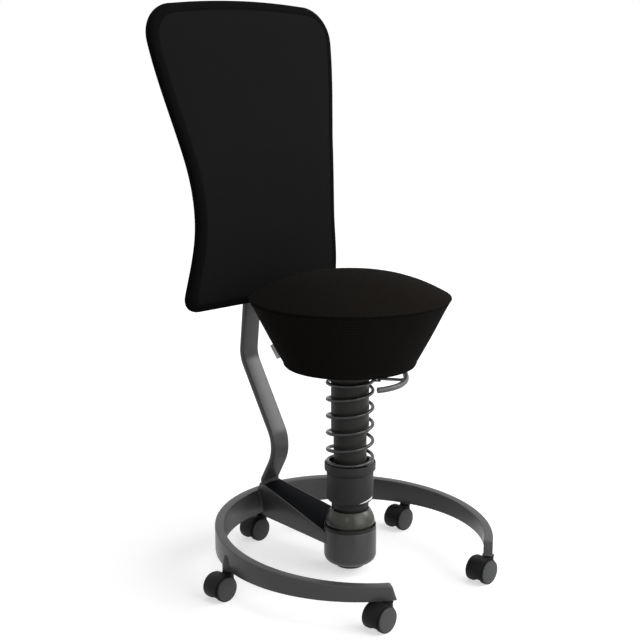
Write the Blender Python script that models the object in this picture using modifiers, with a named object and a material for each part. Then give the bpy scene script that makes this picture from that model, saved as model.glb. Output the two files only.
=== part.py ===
"""Spring balance stool: a domed seat on a coil-spring column, a C-shaped castor base and a tall backrest.

Metres, +Z up. The sitter faces -Y, the backrest is at +Y, the column stands at x = y = 0 on the floor z = 0.
"""

import math

import bmesh
import bpy
from mathutils import Matrix, Vector

# Fits
CLEARANCE = 0.0003
THROUGH = 0.02

# Facets
ROUND_STEPS = 28
SMALL_STEPS = 12
WHEEL_STEPS = 20
ARC_STEPS = 6
BEARING_STEPS = 32
BEARING_ARC_STEPS = 8

# C-shaped base ring, a flat bar on edge that rises and deepens towards the back
RING_OUTER_RADIUS = 0.2825
RING_WIDTH = 0.018
RING_CENTRE_Y = -0.0115
RING_HALF_OPENING = 30.5
RING_STEPS = 60
RING_CASTOR_GAP = 0.0008
RING_BOTTOM_RISE = 0.0072
RING_HEIGHT_FRONT = 0.0287
RING_HEIGHT_BACK = 0.0548
RING_CHAMFER = 0.0025
RING_END_SLANT = 0.009

# Castors, angles measured from the front (-Y) towards the sitter's left (+X)
CASTOR_ANGLES = {"front_right": -34.0, "front_left": 34.0, "side_right": -109.0, "side_left": 109.0,
                 "back": 180.0}
CASTOR_HEADING = 0.0
CASTOR_TRAIL = 0.0215
BOSS_RADIUS = 0.0095
BOSS_PROUD = 0.0050
BOSSES = ("side_right", "side_left", "back")
BOSS_TOP_DROP = 0.012
STEM_RADIUS = 0.005
STEM_DEPTH = 0.022
STEM_COLLAR_RADIUS = 0.0080
STEM_COLLAR_HEIGHT = 0.0012
STEM_TAIL = 0.018
WHEEL_RADIUS = 0.025
WHEEL_WIDTH = 0.0125
WHEEL_DISH = 0.0018
WHEEL_DISH_RADIUS = 0.0138
WHEEL_RIM_RADIUS = 0.0180
WHEEL_TREAD_ROUND = 0.0025
WHEEL_CAP = 0.004
AXLE_RADIUS = 0.003
HOOD_WIDTH = 0.020
HOOD_WALL = 0.0014
HOOD_GAP = 0.0006
HOOD_START = 8.0
HOOD_END = 205.0
HOOD_STEPS = 11
WEB_HALF_LENGTH = 0.006
WEB_DROP = 0.009
HOOD_CANOPY_WIDTH = 0.034
HOOD_BOSS_RADIUS = 0.0088

# Base arm, a folded channel from the ring's back to the cup, with a moulded cover
ARM_SEAT_BORDER = 0.00025
ARM_CUP_INSET = 0.0007
ARM_SEAT_PROUD = 0.0163
ARM_CUP_HEIGHT = 0.0200
ARM_FOOT_LENGTH = 0.0255
ARM_WALL = 0.003
ARM_HEEL_BLOCK = 0.0261
ARM_HEEL_DEPTH = 0.018
COVER_THICKNESS = 0.004
COVER_CROWN = 0.003
COVER_SINK = 0.0010
COVER_CUP_GAP = 0.0010
COVER_COLUMNS = 8
COVER_ROWS = 10

# Tilt bearing: cup, retaining ring, rubber liner and ball, all about one pivot
PIVOT_RISE = 0.0395
BEARING_GAP = 0.0005
LINER_RADIUS = 0.0508
LINER_WALL = 0.0037
LINER_MOUTH = 0.0036
LINER_BOTTOM = 0.0300
BALL_LIP = 0.0036
BALL_BOTTOM = 0.0340
CUP_WALL = 0.0022
CUP_TOP_DROP = 0.0080
CUP_DEPTH = 0.0810
CUP_SHOULDER_HEIGHT = 0.0175
CUP_FOOT_RADIUS = 0.0360
CAP_RADIUS = 0.0330
CAP_HEIGHT = 0.0085
CAP_RIM = 0.004
RETAINER_HEIGHT = 0.0046
RETAINER_INSET = 0.0004

# Telescoping column
STRUT_RADIUS = 0.0335
STRUT_WALL = 0.0023
STRUT_ABOVE_KNOB = 0.1457
STRUT_DEPTH = 0.0195
STRUT_FLOOR = 0.004
NECK_WALL = 0.00395
NECK_RISE = 0.0350
NECK_LENGTH = 0.0355
NECK_CHAMFER = 0.0015
KNOB_NECK_GAP = 0.00475
KNOB_NECK_RISE = 0.0155
KNOB_LENGTH = 0.0593
KNOB_CROWN = 0.020
KNOB_SKIRT_WALL = 0.0050
KNOB_CHAMFER = 0.0035
COLLAR_WALL = 0.0022
COLLAR_BASE = 0.0130
COLLAR_HEIGHT = 0.0208
COLLAR_CHAMFER = 0.0035
SLEEVE_WALL = 0.0047
SLEEVE_LENGTH = 0.1140
PERCH_BORDER = 0.0025
PERCH_THICKNESS = 0.0060
GUIDE_WALL = 0.0024
GUIDE_LENGTH = 0.1790
GUIDE_FLOOR = 0.003
BUSH_LENGTH = 0.029
LIFT_RADIUS = 0.0250
LIFT_LENGTH = 0.1630
LIFT_PROUD = 0.0110
LIFT_ROUND = 0.002
ROD_RADIUS = 0.005
ROD_TOP_DROP = 0.025
ROD_HEAD_ROOM = 0.005
VALVE_RADIUS = 0.004
VALVE_PROUD = 0.0040
VALVE_DEPTH = 0.010

# Coil spring, right-handed, with one closed turn at each end
SPRING_SPAN = 0.1854
SPRING_SLEEVE_GAP = 0.0038
SPRING_WIRE_RADIUS = 0.0036
SPRING_CLOSED_PITCH = 0.0085
SPRING_CLOSED_TURNS = 1.0
SPRING_ACTIVE_TURNS = 4.7
SPRING_PHASE = -60.0
SPRING_POINTS_PER_TURN = 10

# Seat
SEAT_RIM_RADIUS = 0.2010
SEAT_SIDE_HEIGHT = 0.1397
SEAT_CROWN = 0.050
SEAT_CROWN_POWER = 2.4
SEAT_WRAP = 0.0230
SEAT_EDGE_ROUND = 0.010
SEAT_SEAM = 0.003
SEAT_SIDE_BULGE = 0.0015
SEAT_STEPS = 44
SEAT_CROWN_RINGS = 8
SEAT_SIDE_RINGS = 4
BOARD_RADIUS = 0.112
BOARD_THICKNESS = 0.012
PLATE_RADIUS = 0.085
PLATE_THICKNESS = 0.0055
PLATE_EDGE = 0.0015
HUB_WALL = 0.006
HUB_DROP = 0.0085
LEVER_PIVOT = (0.0080, -0.0670)
LEVER_DROP = 0.0123
LEVER_LEG_RADIUS = 0.0030
LEVER_HANDLE_RADIUS = 0.0050
LEVER_HANDLE_START = 46.0
LEVER_HANDLE_END = -25.0
LEVER_HANDLE_NEAR = 0.110
LEVER_HANDLE_FAR = 0.141
LEVER_JOIN = 18.0
LEVER_POINTS = 14
LUG_WIDTH = 0.018
LUG_LENGTH = 0.014
LUG_BELOW_PIN = 0.0042
PIN_RADIUS = 0.002

# Backrest, curved in side view and waisted in front view
BACK_BOTTOM = 0.5285
BACK_HEIGHT = 0.6075
BACK_TOP_CROWN = 0.008
BACK_TOP_HALF_WIDTH = 0.2500
BACK_WIDEST_DROP = 0.016
BACK_WAIST_HALF_WIDTH = 0.192
BACK_WAIST_RISE = 0.1865
BACK_BOTTOM_HALF_WIDTH = 0.2125
BACK_TOP_CORNER = 0.075
BACK_BOTTOM_CORNER = 0.036
BACK_LUMBAR_Y = 0.2335
BACK_LUMBAR_RISE = 0.1715
BACK_BEND_ABOVE = 0.77
BACK_BEND_BELOW = 0.75
BACK_LEAN = 0.220
PAD_THICKNESS = 0.026
PAD_EDGE = 0.018
PAD_COLUMNS = 16
PAD_ROWS = 28
ROW_CROWDING = 0.8
SHELL_THICKNESS = 0.010
SHELL_INSET = 0.012
SHELL_GAP = 0.0006

# Upright, a flat steel bar from the arm's heel to the backrest shell
BAR_WIDTH = 0.0465
BAR_THICKNESS = 0.0115
BAR_EDGE = 0.0025
BAR_EDGE_ANGLE = 50.0
BAR_FOOT_RISE = 0.010
BAR_KNEE_FORWARD = 0.0434
BAR_KNEE_RISE = 0.0875
BAR_KNEE_RADIUS = 0.074
BAR_HEEL_BEHIND = 0.0675
BAR_HEEL_DROP = 0.1245
BAR_HEEL_RADIUS = 0.060
BAR_SHOULDER_BEHIND = 0.03348
BAR_SHOULDER_RISE = 0.0165
BAR_SHOULDER_RADIUS = 0.060
BAR_HEAD_RISE = 0.1265
BAR_HEAD_LENGTH = 0.120
BAR_FOOT_RADIUS = 0.010
BOLT_COUNT = 3
BOLT_BORDER = 0.025
BOLT_RADIUS = 0.004
BOLT_HEAD_RADIUS = 0.0075
BOLT_HEAD_HEIGHT = 0.0045
BOLT_TOP_RADIUS = 0.0052
BOLT_RIM_HEIGHT = 0.0018
BOLT_TIP_COVER = 0.002

# Sizes that follow from the driving ones: castors and ring
AXLE_HEIGHT = WHEEL_RADIUS
WHEEL_INNER_FACE = HOOD_WIDTH / 2 + HOOD_GAP
AXLE_LENGTH = 2 * (WHEEL_INNER_FACE + WHEEL_WIDTH - WHEEL_CAP - CLEARANCE)
CANOPY_INNER_RADIUS = WHEEL_RADIUS + HOOD_GAP
CANOPY_OUTER_RADIUS = CANOPY_INNER_RADIUS + HOOD_WALL
RING_BOTTOM_FRONT = AXLE_HEIGHT + CANOPY_OUTER_RADIUS + RING_CASTOR_GAP
RING_TOP_FRONT = RING_BOTTOM_FRONT + RING_HEIGHT_FRONT
RING_BOTTOM_BACK = RING_BOTTOM_FRONT + RING_BOTTOM_RISE
RING_TOP_BACK = RING_BOTTOM_BACK + RING_HEIGHT_BACK
RING_INNER_RADIUS = RING_OUTER_RADIUS - RING_WIDTH
RING_MID_RADIUS = RING_OUTER_RADIUS - RING_WIDTH / 2
RING_FRONT_Y = RING_CENTRE_Y - RING_MID_RADIUS * math.cos(math.radians(RING_HALF_OPENING))
RING_BACK_Y = RING_CENTRE_Y + RING_MID_RADIUS
HOOD_TOP = RING_BOTTOM_FRONT - 2 * CLEARANCE - STEM_COLLAR_HEIGHT
STEM_BOTTOM = HOOD_TOP - STEM_TAIL

# Sizes that follow: bearing and arm
ARM_BOTTOM = RING_BOTTOM_BACK
ARM_TOP_REAR = RING_TOP_BACK + ARM_SEAT_PROUD
ARM_TOP_CUP = ARM_BOTTOM + ARM_CUP_HEIGHT
ARM_HEEL_TOP = ARM_TOP_REAR - ARM_HEEL_BLOCK
ARM_REAR_HALF_WIDTH = BAR_WIDTH / 2 + ARM_SEAT_BORDER
PIVOT_HEIGHT = ARM_BOTTOM + PIVOT_RISE
CUP_RADIUS = LINER_RADIUS + BEARING_GAP + CUP_WALL
CUP_TOP = PIVOT_HEIGHT - CUP_TOP_DROP
CUP_BOTTOM = PIVOT_HEIGHT - CUP_DEPTH
CUP_SHOULDER = CUP_BOTTOM + CUP_SHOULDER_HEIGHT
CAP_BOTTOM = CUP_BOTTOM - CAP_HEIGHT
CUP_CLEAR_RADIUS = CUP_RADIUS + CLEARANCE
ARM_CUP_HALF_WIDTH = CUP_RADIUS - ARM_CUP_INSET
ARM_REAR_Y = RING_CENTRE_Y + math.sqrt((RING_INNER_RADIUS - CLEARANCE) ** 2 - ARM_REAR_HALF_WIDTH ** 2)
ARM_FOOT_Y = ARM_REAR_Y - ARM_FOOT_LENGTH
BALL_RADIUS = LINER_RADIUS - LINER_WALL - BEARING_GAP
LINER_TOP = math.sqrt((LINER_RADIUS - LINER_WALL) ** 2 - (STRUT_RADIUS + LINER_MOUTH) ** 2)
BALL_TOP = math.sqrt(BALL_RADIUS ** 2 - (STRUT_RADIUS + CLEARANCE + BALL_LIP) ** 2)

# Sizes that follow: column
SLIDE_RADIUS = STRUT_RADIUS + CLEARANCE
STRUT_BORE = STRUT_RADIUS - STRUT_WALL
NECK_RADIUS = SLIDE_RADIUS + NECK_WALL
NECK_BOTTOM = PIVOT_HEIGHT + NECK_RISE
NECK_TOP = NECK_BOTTOM + NECK_LENGTH
KNOB_RADIUS = NECK_RADIUS + KNOB_NECK_GAP + KNOB_SKIRT_WALL
KNOB_BOTTOM = NECK_BOTTOM + KNOB_NECK_RISE
KNOB_TOP = KNOB_BOTTOM + KNOB_LENGTH
STRUT_TOP = KNOB_TOP + STRUT_ABOVE_KNOB
SLEEVE_RADIUS = SLIDE_RADIUS + SLEEVE_WALL
SPRING_OUTER_RADIUS = SLEEVE_RADIUS + SPRING_SLEEVE_GAP + 2 * SPRING_WIRE_RADIUS
SPRING_RADIUS = SPRING_OUTER_RADIUS - SPRING_WIRE_RADIUS
COLLAR_BORE = SPRING_OUTER_RADIUS + CLEARANCE
COLLAR_BOTTOM = KNOB_TOP + CLEARANCE
COLLAR_TOP = COLLAR_BOTTOM + COLLAR_HEIGHT
COLLAR_FLOOR = COLLAR_BOTTOM + COLLAR_BASE
PERCH_RADIUS = SPRING_OUTER_RADIUS + PERCH_BORDER
PERCH_BOTTOM = COLLAR_FLOOR + SPRING_SPAN
PERCH_TOP = PERCH_BOTTOM + PERCH_THICKNESS
SLEEVE_BOTTOM = PERCH_BOTTOM - SLEEVE_LENGTH
SPRING_BOTTOM = COLLAR_FLOOR + CLEARANCE + SPRING_WIRE_RADIUS
SPRING_TOP = PERCH_BOTTOM - CLEARANCE - SPRING_WIRE_RADIUS
GUIDE_RADIUS = STRUT_BORE - CLEARANCE
GUIDE_BORE = GUIDE_RADIUS - GUIDE_WALL
GUIDE_BOTTOM = PERCH_TOP - GUIDE_LENGTH
LIFT_TOP = PERCH_TOP + LIFT_PROUD
LIFT_BOTTOM = LIFT_TOP - LIFT_LENGTH
ROD_TOP = LIFT_TOP - ROD_TOP_DROP
ROD_BORE_TOP = ROD_TOP + ROD_HEAD_ROOM
VALVE_TOP = LIFT_TOP + VALVE_PROUD

# Sizes that follow: seat and backrest
PLATE_BOTTOM = LIFT_TOP + CLEARANCE
PLATE_TOP = PLATE_BOTTOM + PLATE_THICKNESS
BOARD_BOTTOM = PLATE_TOP + CLEARANCE
BOARD_TOP = BOARD_BOTTOM + BOARD_THICKNESS
SEAT_BASE_RADIUS = BOARD_RADIUS + SEAT_WRAP
SEAT_BASE_HEIGHT = BOARD_BOTTOM
SEAT_RIM_HEIGHT = SEAT_BASE_HEIGHT + SEAT_SIDE_HEIGHT
LEVER_HEIGHT = PLATE_BOTTOM - LEVER_DROP
BACK_TOP = BACK_BOTTOM + BACK_HEIGHT
BACK_TOP_WIDEST = BACK_TOP - BACK_WIDEST_DROP
BACK_WAIST_HEIGHT = BACK_BOTTOM + BACK_WAIST_RISE
BACK_LUMBAR_HEIGHT = BACK_BOTTOM + BACK_LUMBAR_RISE
SHELL_FRONT_OFFSET = PAD_THICKNESS / 2 + SHELL_GAP
BAR_HEAD_BOTTOM = BACK_BOTTOM + BAR_HEAD_RISE
BAR_HEAD_TOP = BAR_HEAD_BOTTOM + BAR_HEAD_LENGTH
BOLT_SPACING = (BAR_HEAD_LENGTH - 2 * BOLT_BORDER) / (BOLT_COUNT - 1)

PARTS = None
CUTTERS = None


def clear_scene():
    """Remove every object of the scene and make the collections for parts and cutters."""
    global PARTS, CUTTERS
    for old in list(bpy.data.objects):
        bpy.data.objects.remove(old, do_unlink=True)
    PARTS = bpy.data.collections.new("spring_balance_stool")
    CUTTERS = bpy.data.collections.new("cutters")
    for group in (PARTS, CUTTERS):
        bpy.context.scene.collection.children.link(group)


def finish(name, colour, roughness, metallic):
    """Make a Principled material from a linear colour, a roughness and a metallic value."""
    material = bpy.data.materials.new(name)
    material.use_nodes = True
    shader = material.node_tree.nodes["Principled BSDF"]
    shader.inputs["Base Color"].default_value = (*colour, 1.0)
    shader.inputs["Roughness"].default_value = roughness
    shader.inputs["Metallic"].default_value = metallic
    return material


def joint_point(name, location, parent=None, heading=0.0):
    """Add an empty on a joint's axis; its children move with that joint."""
    empty = bpy.data.objects.new(name, None)
    PARTS.objects.link(empty)
    empty.location = location
    empty.rotation_euler = (0.0, 0.0, math.radians(heading))
    if parent is not None:
        empty.parent = parent
        empty.matrix_parent_inverse = Matrix.Translation(-parent.location)
    return empty


def add_part(name, data, material, joint=None, local=False):
    """Add a named part; one that isn't local to its joint's empty is given in world coordinates."""
    data.materials.append(material)
    part = bpy.data.objects.new(name, data)
    PARTS.objects.link(part)
    if joint is not None:
        part.parent = joint
        if not local:
            part.matrix_parent_inverse = Matrix.Translation(-joint.location)
    return part


def add_cutter(name, mesh):
    """Add a hidden mesh that another part is cut by or joined with."""
    cutter = bpy.data.objects.new(name, mesh)
    CUTTERS.objects.link(cutter)
    cutter.hide_render = True
    cutter.display_type = "WIRE"
    return cutter


def combine(part, tool, operation):
    """Cut a part by a tool or join the tool to it, in the part's own frame."""
    if part.parent is not None:
        tool.parent = part.parent
        tool.matrix_parent_inverse = part.matrix_parent_inverse.copy()
    change = part.modifiers.new(tool.name, "BOOLEAN")
    change.operation = operation
    change.solver = "EXACT"
    change.object = tool


def mesh_from(name, build):
    """Fill a new mesh by a function that works on a bmesh, with its faces turned outwards."""
    work = bmesh.new()
    build(work)
    bmesh.ops.recalc_face_normals(work, faces=work.faces)
    mesh = bpy.data.meshes.new(name)
    work.to_mesh(mesh)
    work.free()
    return mesh


def profile_mesh(name, profile):
    """Make the edges of a turned profile of (radius, height) points, closed where it isn't on the axis."""
    mesh = bpy.data.meshes.new(name)
    edges = [(index, index + 1) for index in range(len(profile) - 1)]
    if profile[0][0] > 0.0:
        edges.append((len(profile) - 1, 0))
    mesh.from_pydata([(radius, 0.0, height) for radius, height in profile], edges, [])
    return mesh


def turn(part, steps):
    """Turn a part's profile about its local Z axis."""
    screw = part.modifiers.new("turn", "SCREW")
    screw.axis = "Z"
    screw.steps = steps
    screw.render_steps = steps
    screw.use_merge_vertices = True
    screw.merge_threshold = 0.00001


def turned(name, profile, material, joint=None, steps=ROUND_STEPS):
    """Add a part turned about the column from points that run down its outer side."""
    part = add_part(name, profile_mesh(name, profile), material, joint)
    turn(part, steps)
    return part


def round_cutter(name, radius, bottom, top, centre=(0.0, 0.0), steps=SMALL_STEPS):
    """Make an upright cylinder for cutting or joining."""
    def build(work):
        bmesh.ops.create_cone(work, cap_ends=True, segments=steps, radius1=radius, radius2=radius,
                              depth=top - bottom,
                              matrix=Matrix.Translation((centre[0], centre[1], (bottom + top) / 2)))
    return add_cutter(name, mesh_from(name, build))


def thicken(work, shift):
    """Make a sheet a closed solid: extrude its faces and move each new point by a function of it."""
    raised = bmesh.ops.extrude_face_region(work, geom=work.faces[:])["geom"]
    for item in raised:
        if isinstance(item, bmesh.types.BMVert):
            item.co += Vector(shift(item.co))


def prism_mesh(name, outline, bottom, top):
    """Raise a flat outline of (x, y) points from a bottom height to a top height that follows y."""
    def build(work):
        work.faces.new([work.verts.new((x, y, bottom)) for x, y in outline])
        thicken(work, lambda point: (0.0, 0.0, top(point.y) - bottom))
    return mesh_from(name, build)


def side_prism_mesh(name, outline, width):
    """Extrude a closed outline of (y, z) points to both sides of the plane x = 0."""
    def build(work):
        work.faces.new([work.verts.new((-width / 2, y, z)) for y, z in outline])
        thicken(work, lambda point: (width, 0.0, 0.0))
    return mesh_from(name, build)


def arc(centre, radius, start, end, steps):
    """Give points on an arc, from start to end in degrees."""
    angles = [math.radians(start + (end - start) * step / steps) for step in range(steps + 1)]
    return [(centre[0] + radius * math.cos(a), centre[1] + radius * math.sin(a)) for a in angles]


def filleted(points, radii, steps):
    """Round the inner corners of an open line of points with arcs of the given radii."""
    line = [Vector(points[0])]
    for before, corner, after, radius in zip(points, points[1:], points[2:], radii):
        corner = Vector(corner)
        back = (Vector(before) - corner).normalized()
        ahead = (Vector(after) - corner).normalized()
        half = back.angle(ahead) / 2
        centre = corner + (back + ahead).normalized() * (radius / math.sin(half))
        start = corner + back * (radius / math.tan(half)) - centre
        sweep = start.angle_signed(corner + ahead * (radius / math.tan(half)) - centre)
        for step in range(steps + 1):
            spot = start.copy()
            spot.rotate(Matrix.Rotation(-sweep * step / steps, 2))
            line.append(centre + spot)
    line.append(Vector(points[-1]))
    return line


def tube_curve(name, points, radius, resolution):
    """Make a round bar with closed ends along points."""
    curve = bpy.data.curves.new(name, "CURVE")
    curve.dimensions = "3D"
    curve.bevel_depth = radius
    curve.bevel_resolution = resolution
    curve.use_fill_caps = True
    spline = curve.splines.new("POLY")
    spline.points.add(len(points) - 1)
    for knot, point in zip(spline.points, points):
        knot.co = (*point, 1.0)
    return curve


def tube_mesh(name, points, radius, resolution):
    """Make the closed mesh of a round bar along points."""
    guide = bpy.data.objects.new(name + "_guide", tube_curve(name, points, radius, resolution))
    CUTTERS.objects.link(guide)
    seen = guide.evaluated_get(bpy.context.evaluated_depsgraph_get())
    mesh = bpy.data.meshes.new_from_object(seen)
    bpy.data.objects.remove(guide, do_unlink=True)
    work = bmesh.new()
    work.from_mesh(mesh)
    bmesh.ops.remove_doubles(work, verts=work.verts, dist=0.00001)
    bmesh.ops.recalc_face_normals(work, faces=work.faces)
    work.to_mesh(mesh)
    work.free()
    return mesh


def between(low, high, share):
    """Give the value a share of the way from low to high."""
    return low + (high - low) * share


def ease(share):
    """Give a share that starts and ends gently."""
    return (1 - math.cos(math.pi * min(max(share, 0.0), 1.0))) / 2


def ring_levels(y):
    """Give the ring's bottom and top heights at a place along y."""
    share = (y - RING_FRONT_Y) / (RING_BACK_Y - RING_FRONT_Y)
    return between(RING_BOTTOM_FRONT, RING_BOTTOM_BACK, share), between(RING_TOP_FRONT, RING_TOP_BACK, share)


def castor_place(name):
    """Give where a castor's stem stands: in the bar's middle, or in a boss that stands proud of it."""
    radius = RING_MID_RADIUS
    if name in BOSSES:
        radius = RING_OUTER_RADIUS + BOSS_PROUD - BOSS_RADIUS
    angle = math.radians(CASTOR_ANGLES[name])
    return radius * math.sin(angle), RING_CENTRE_Y - radius * math.cos(angle)


def base_ring(metal):
    """Spin the bar's section about the column, then set its heights, bosses and stem bores."""
    half = RING_WIDTH / 2
    section = ((-half, 0.0, 0.0), (half, 0.0, 0.0), (half, 1.0, RING_CHAMFER), (half - RING_CHAMFER, 1.0, 0.0),
               (RING_CHAMFER - half, 1.0, 0.0), (-half, 1.0, RING_CHAMFER))
    sweep = math.pi - math.radians(RING_HALF_OPENING)
    lean = RING_END_SLANT / (RING_MID_RADIUS * sweep)

    def build(work):
        loops = []
        for step in range(RING_STEPS + 1):
            loop = []
            for across, rise, drop in section:
                angle = sweep * (2 * step / RING_STEPS - 1) * (1 - lean * rise)
                radius = RING_MID_RADIUS + across
                x, y = radius * math.sin(angle), RING_CENTRE_Y + radius * math.cos(angle)
                bottom, top = ring_levels(y)
                loop.append(work.verts.new((x, y, between(bottom, top, rise) - drop)))
            loops.append(loop)
        for one, two in zip(loops, loops[1:]):
            for index in range(len(section)):
                after = (index + 1) % len(section)
                work.faces.new((one[index], one[after], two[after], two[index]))
        work.faces.new(loops[0])
        work.faces.new(loops[-1])

    ring = add_part("base_ring", mesh_from("base_ring", build), metal)
    for name in BOSSES:
        centre = castor_place(name)
        top = ring_levels(centre[1])[1] - BOSS_TOP_DROP
        combine(ring, round_cutter(f"boss_{name}", BOSS_RADIUS, RING_BOTTOM_FRONT, top, centre), "UNION")
    for name in CASTOR_ANGLES:
        bore = round_cutter(f"stem_bore_{name}", STEM_RADIUS + CLEARANCE, RING_BOTTOM_FRONT - THROUGH,
                            RING_BOTTOM_FRONT + STEM_DEPTH + CLEARANCE, castor_place(name))
        combine(ring, bore, "DIFFERENCE")


def arm_half_width(y):
    """Give half the arm's width at a place along y: it flares from the upright to the cup."""
    return between(ARM_CUP_HALF_WIDTH, ARM_REAR_HALF_WIDTH, y / ARM_REAR_Y)


def arm_top(y):
    """Give the arm's top height: it slopes down to the cup and is level under the upright's foot."""
    return between(ARM_TOP_CUP, ARM_TOP_REAR, min(y / ARM_FOOT_Y, 1.0))


def base_arm(metal):
    """Fold the channel: a flaring trough with a level seat for the upright, cut round the cup."""
    rims = (0.0, ARM_FOOT_Y, ARM_REAR_Y)
    outline = [(arm_half_width(y), y) for y in rims] + [(-arm_half_width(y), y) for y in reversed(rims)]
    arm = add_part("base_arm", prism_mesh("base_arm", outline, ARM_BOTTOM, arm_top), metal)

    trough_ends = (-THROUGH, ARM_FOOT_Y - ARM_WALL)
    inner = [(arm_half_width(y) - ARM_WALL, y) for y in trough_ends]
    inner += [(ARM_WALL - arm_half_width(y), y) for y in reversed(trough_ends)]
    trough = prism_mesh("arm_trough", inner, ARM_BOTTOM + ARM_WALL, lambda y: ARM_TOP_REAR + THROUGH)
    combine(arm, add_cutter("arm_trough", trough), "DIFFERENCE")
    combine(arm, round_cutter("arm_cup_cut", CUP_CLEAR_RADIUS, ARM_BOTTOM - THROUGH, ARM_TOP_REAR,
                              steps=2 * ROUND_STEPS), "DIFFERENCE")
    heel = [(ARM_REAR_Y + THROUGH, ARM_HEEL_TOP), (ARM_REAR_Y, ARM_HEEL_TOP),
            (ARM_REAR_Y - ARM_HEEL_DEPTH, ARM_BOTTOM), (ARM_REAR_Y - ARM_HEEL_DEPTH, ARM_BOTTOM - THROUGH),
            (ARM_REAR_Y + THROUGH, ARM_BOTTOM - THROUGH)]
    heel_cut = add_cutter("arm_heel", side_prism_mesh("arm_heel", heel, 4 * ARM_REAR_HALF_WIDTH))
    combine(arm, heel_cut, "DIFFERENCE")


def cover_front(across):
    """Give the y at which a line along the cover, a share of its half width out, meets the cup."""
    flare = (ARM_CUP_HALF_WIDTH - ARM_REAR_HALF_WIDTH) / ARM_REAR_Y
    start = ARM_CUP_HALF_WIDTH - ARM_WALL - CLEARANCE
    reach = CUP_RADIUS + COVER_CUP_GAP
    square = 1 + (across * flare) ** 2
    linear = across ** 2 * start * flare
    return (linear + math.sqrt(linear ** 2 - square * ((across * start) ** 2 - reach ** 2))) / square


def arm_cover(plastic):
    """Lay a crowned cover into the arm's trough, from the cup to the upright's seat."""
    rear = ARM_FOOT_Y - ARM_WALL - CLEARANCE

    def build(work):
        bmesh.ops.create_grid(work, x_segments=COVER_COLUMNS, y_segments=COVER_ROWS, size=1.0)
        for vertex in work.verts:
            across, along = vertex.co.x, (vertex.co.y + 1) / 2
            y = between(cover_front(across), rear, along)
            x = across * (arm_half_width(y) - ARM_WALL - CLEARANCE)
            vertex.co = (x, y, arm_top(y) - COVER_SINK + COVER_CROWN * (1 - across ** 2))
        thicken(work, lambda point: (0.0, 0.0, -COVER_THICKNESS))

    add_part("arm_cover", mesh_from("arm_cover", build), plastic)


def sphere_arc(radius, top, bottom, steps):
    """Give profile points on a sphere about the pivot, from one height above it to one below."""
    return [(radius * math.cos(a), PIVOT_HEIGHT + radius * math.sin(a))
            for a in (between(math.asin(top / radius), math.asin(bottom / radius), s / steps)
                      for s in range(steps + 1))]


def tilt_bearing(metal, plastic, rubber, steel, liner_joint, strut_joint):
    """Stack the cup, its foot cap and retaining ring, and the liner and ball that tilt in them."""
    bowl = LINER_RADIUS + BEARING_GAP
    lip = math.sqrt(bowl ** 2 - (PIVOT_HEIGHT - CUP_TOP) ** 2)
    corner = arc((CUP_FOOT_RADIUS, CUP_SHOULDER), 1.0, 0.0, -90.0, ARC_STEPS)
    shoulder = [(CUP_FOOT_RADIUS + (r - CUP_FOOT_RADIUS) * (CUP_RADIUS - CUP_FOOT_RADIUS),
                 CUP_SHOULDER + (z - CUP_SHOULDER) * (CUP_SHOULDER - CUP_BOTTOM)) for r, z in corner]
    inside = sphere_arc(bowl, CUP_TOP - PIVOT_HEIGHT, -bowl, BEARING_ARC_STEPS)
    cup = [(0.0, inside[-1][1])] + inside[-2:0:-1] + [(lip, CUP_TOP), (CUP_RADIUS, CUP_TOP)]
    turned("joint_cup", cup + shoulder + [(0.0, CUP_BOTTOM)], metal, steps=BEARING_STEPS)

    cap_top = CUP_BOTTOM - CLEARANCE
    turned("cup_foot_cap", [(0.0, cap_top), (CAP_RADIUS, cap_top), (CAP_RADIUS - CAP_RIM, CAP_BOTTOM),
                            (0.0, CAP_BOTTOM)], plastic, steps=SMALL_STEPS)

    ring_bottom = CUP_TOP + CLEARANCE
    ring_radius = CUP_RADIUS - RETAINER_INSET
    turned("retaining_ring", [(ring_radius - RETAINER_INSET, ring_bottom + RETAINER_HEIGHT),
                              (ring_radius, ring_bottom + RETAINER_HEIGHT - RETAINER_INSET),
                              (ring_radius, ring_bottom), (bowl, ring_bottom),
                              (bowl, ring_bottom + RETAINER_HEIGHT)], metal, steps=BEARING_STEPS)

    outer = sphere_arc(LINER_RADIUS, LINER_TOP, -LINER_BOTTOM, BEARING_ARC_STEPS)
    inner = sphere_arc(LINER_RADIUS - LINER_WALL, -LINER_BOTTOM, LINER_TOP, BEARING_ARC_STEPS)
    turned("bearing_liner", outer + inner, rubber, liner_joint, BEARING_STEPS)

    floor = PIVOT_HEIGHT - STRUT_DEPTH - CLEARANCE
    ball = sphere_arc(BALL_RADIUS, BALL_TOP, -BALL_BOTTOM, BEARING_ARC_STEPS)
    turned("bearing_ball", [(0.0, floor), (SLIDE_RADIUS, floor), (SLIDE_RADIUS, PIVOT_HEIGHT + BALL_TOP)] + ball
           + [(0.0, PIVOT_HEIGHT - BALL_BOTTOM)], steel, strut_joint, BEARING_STEPS)


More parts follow.
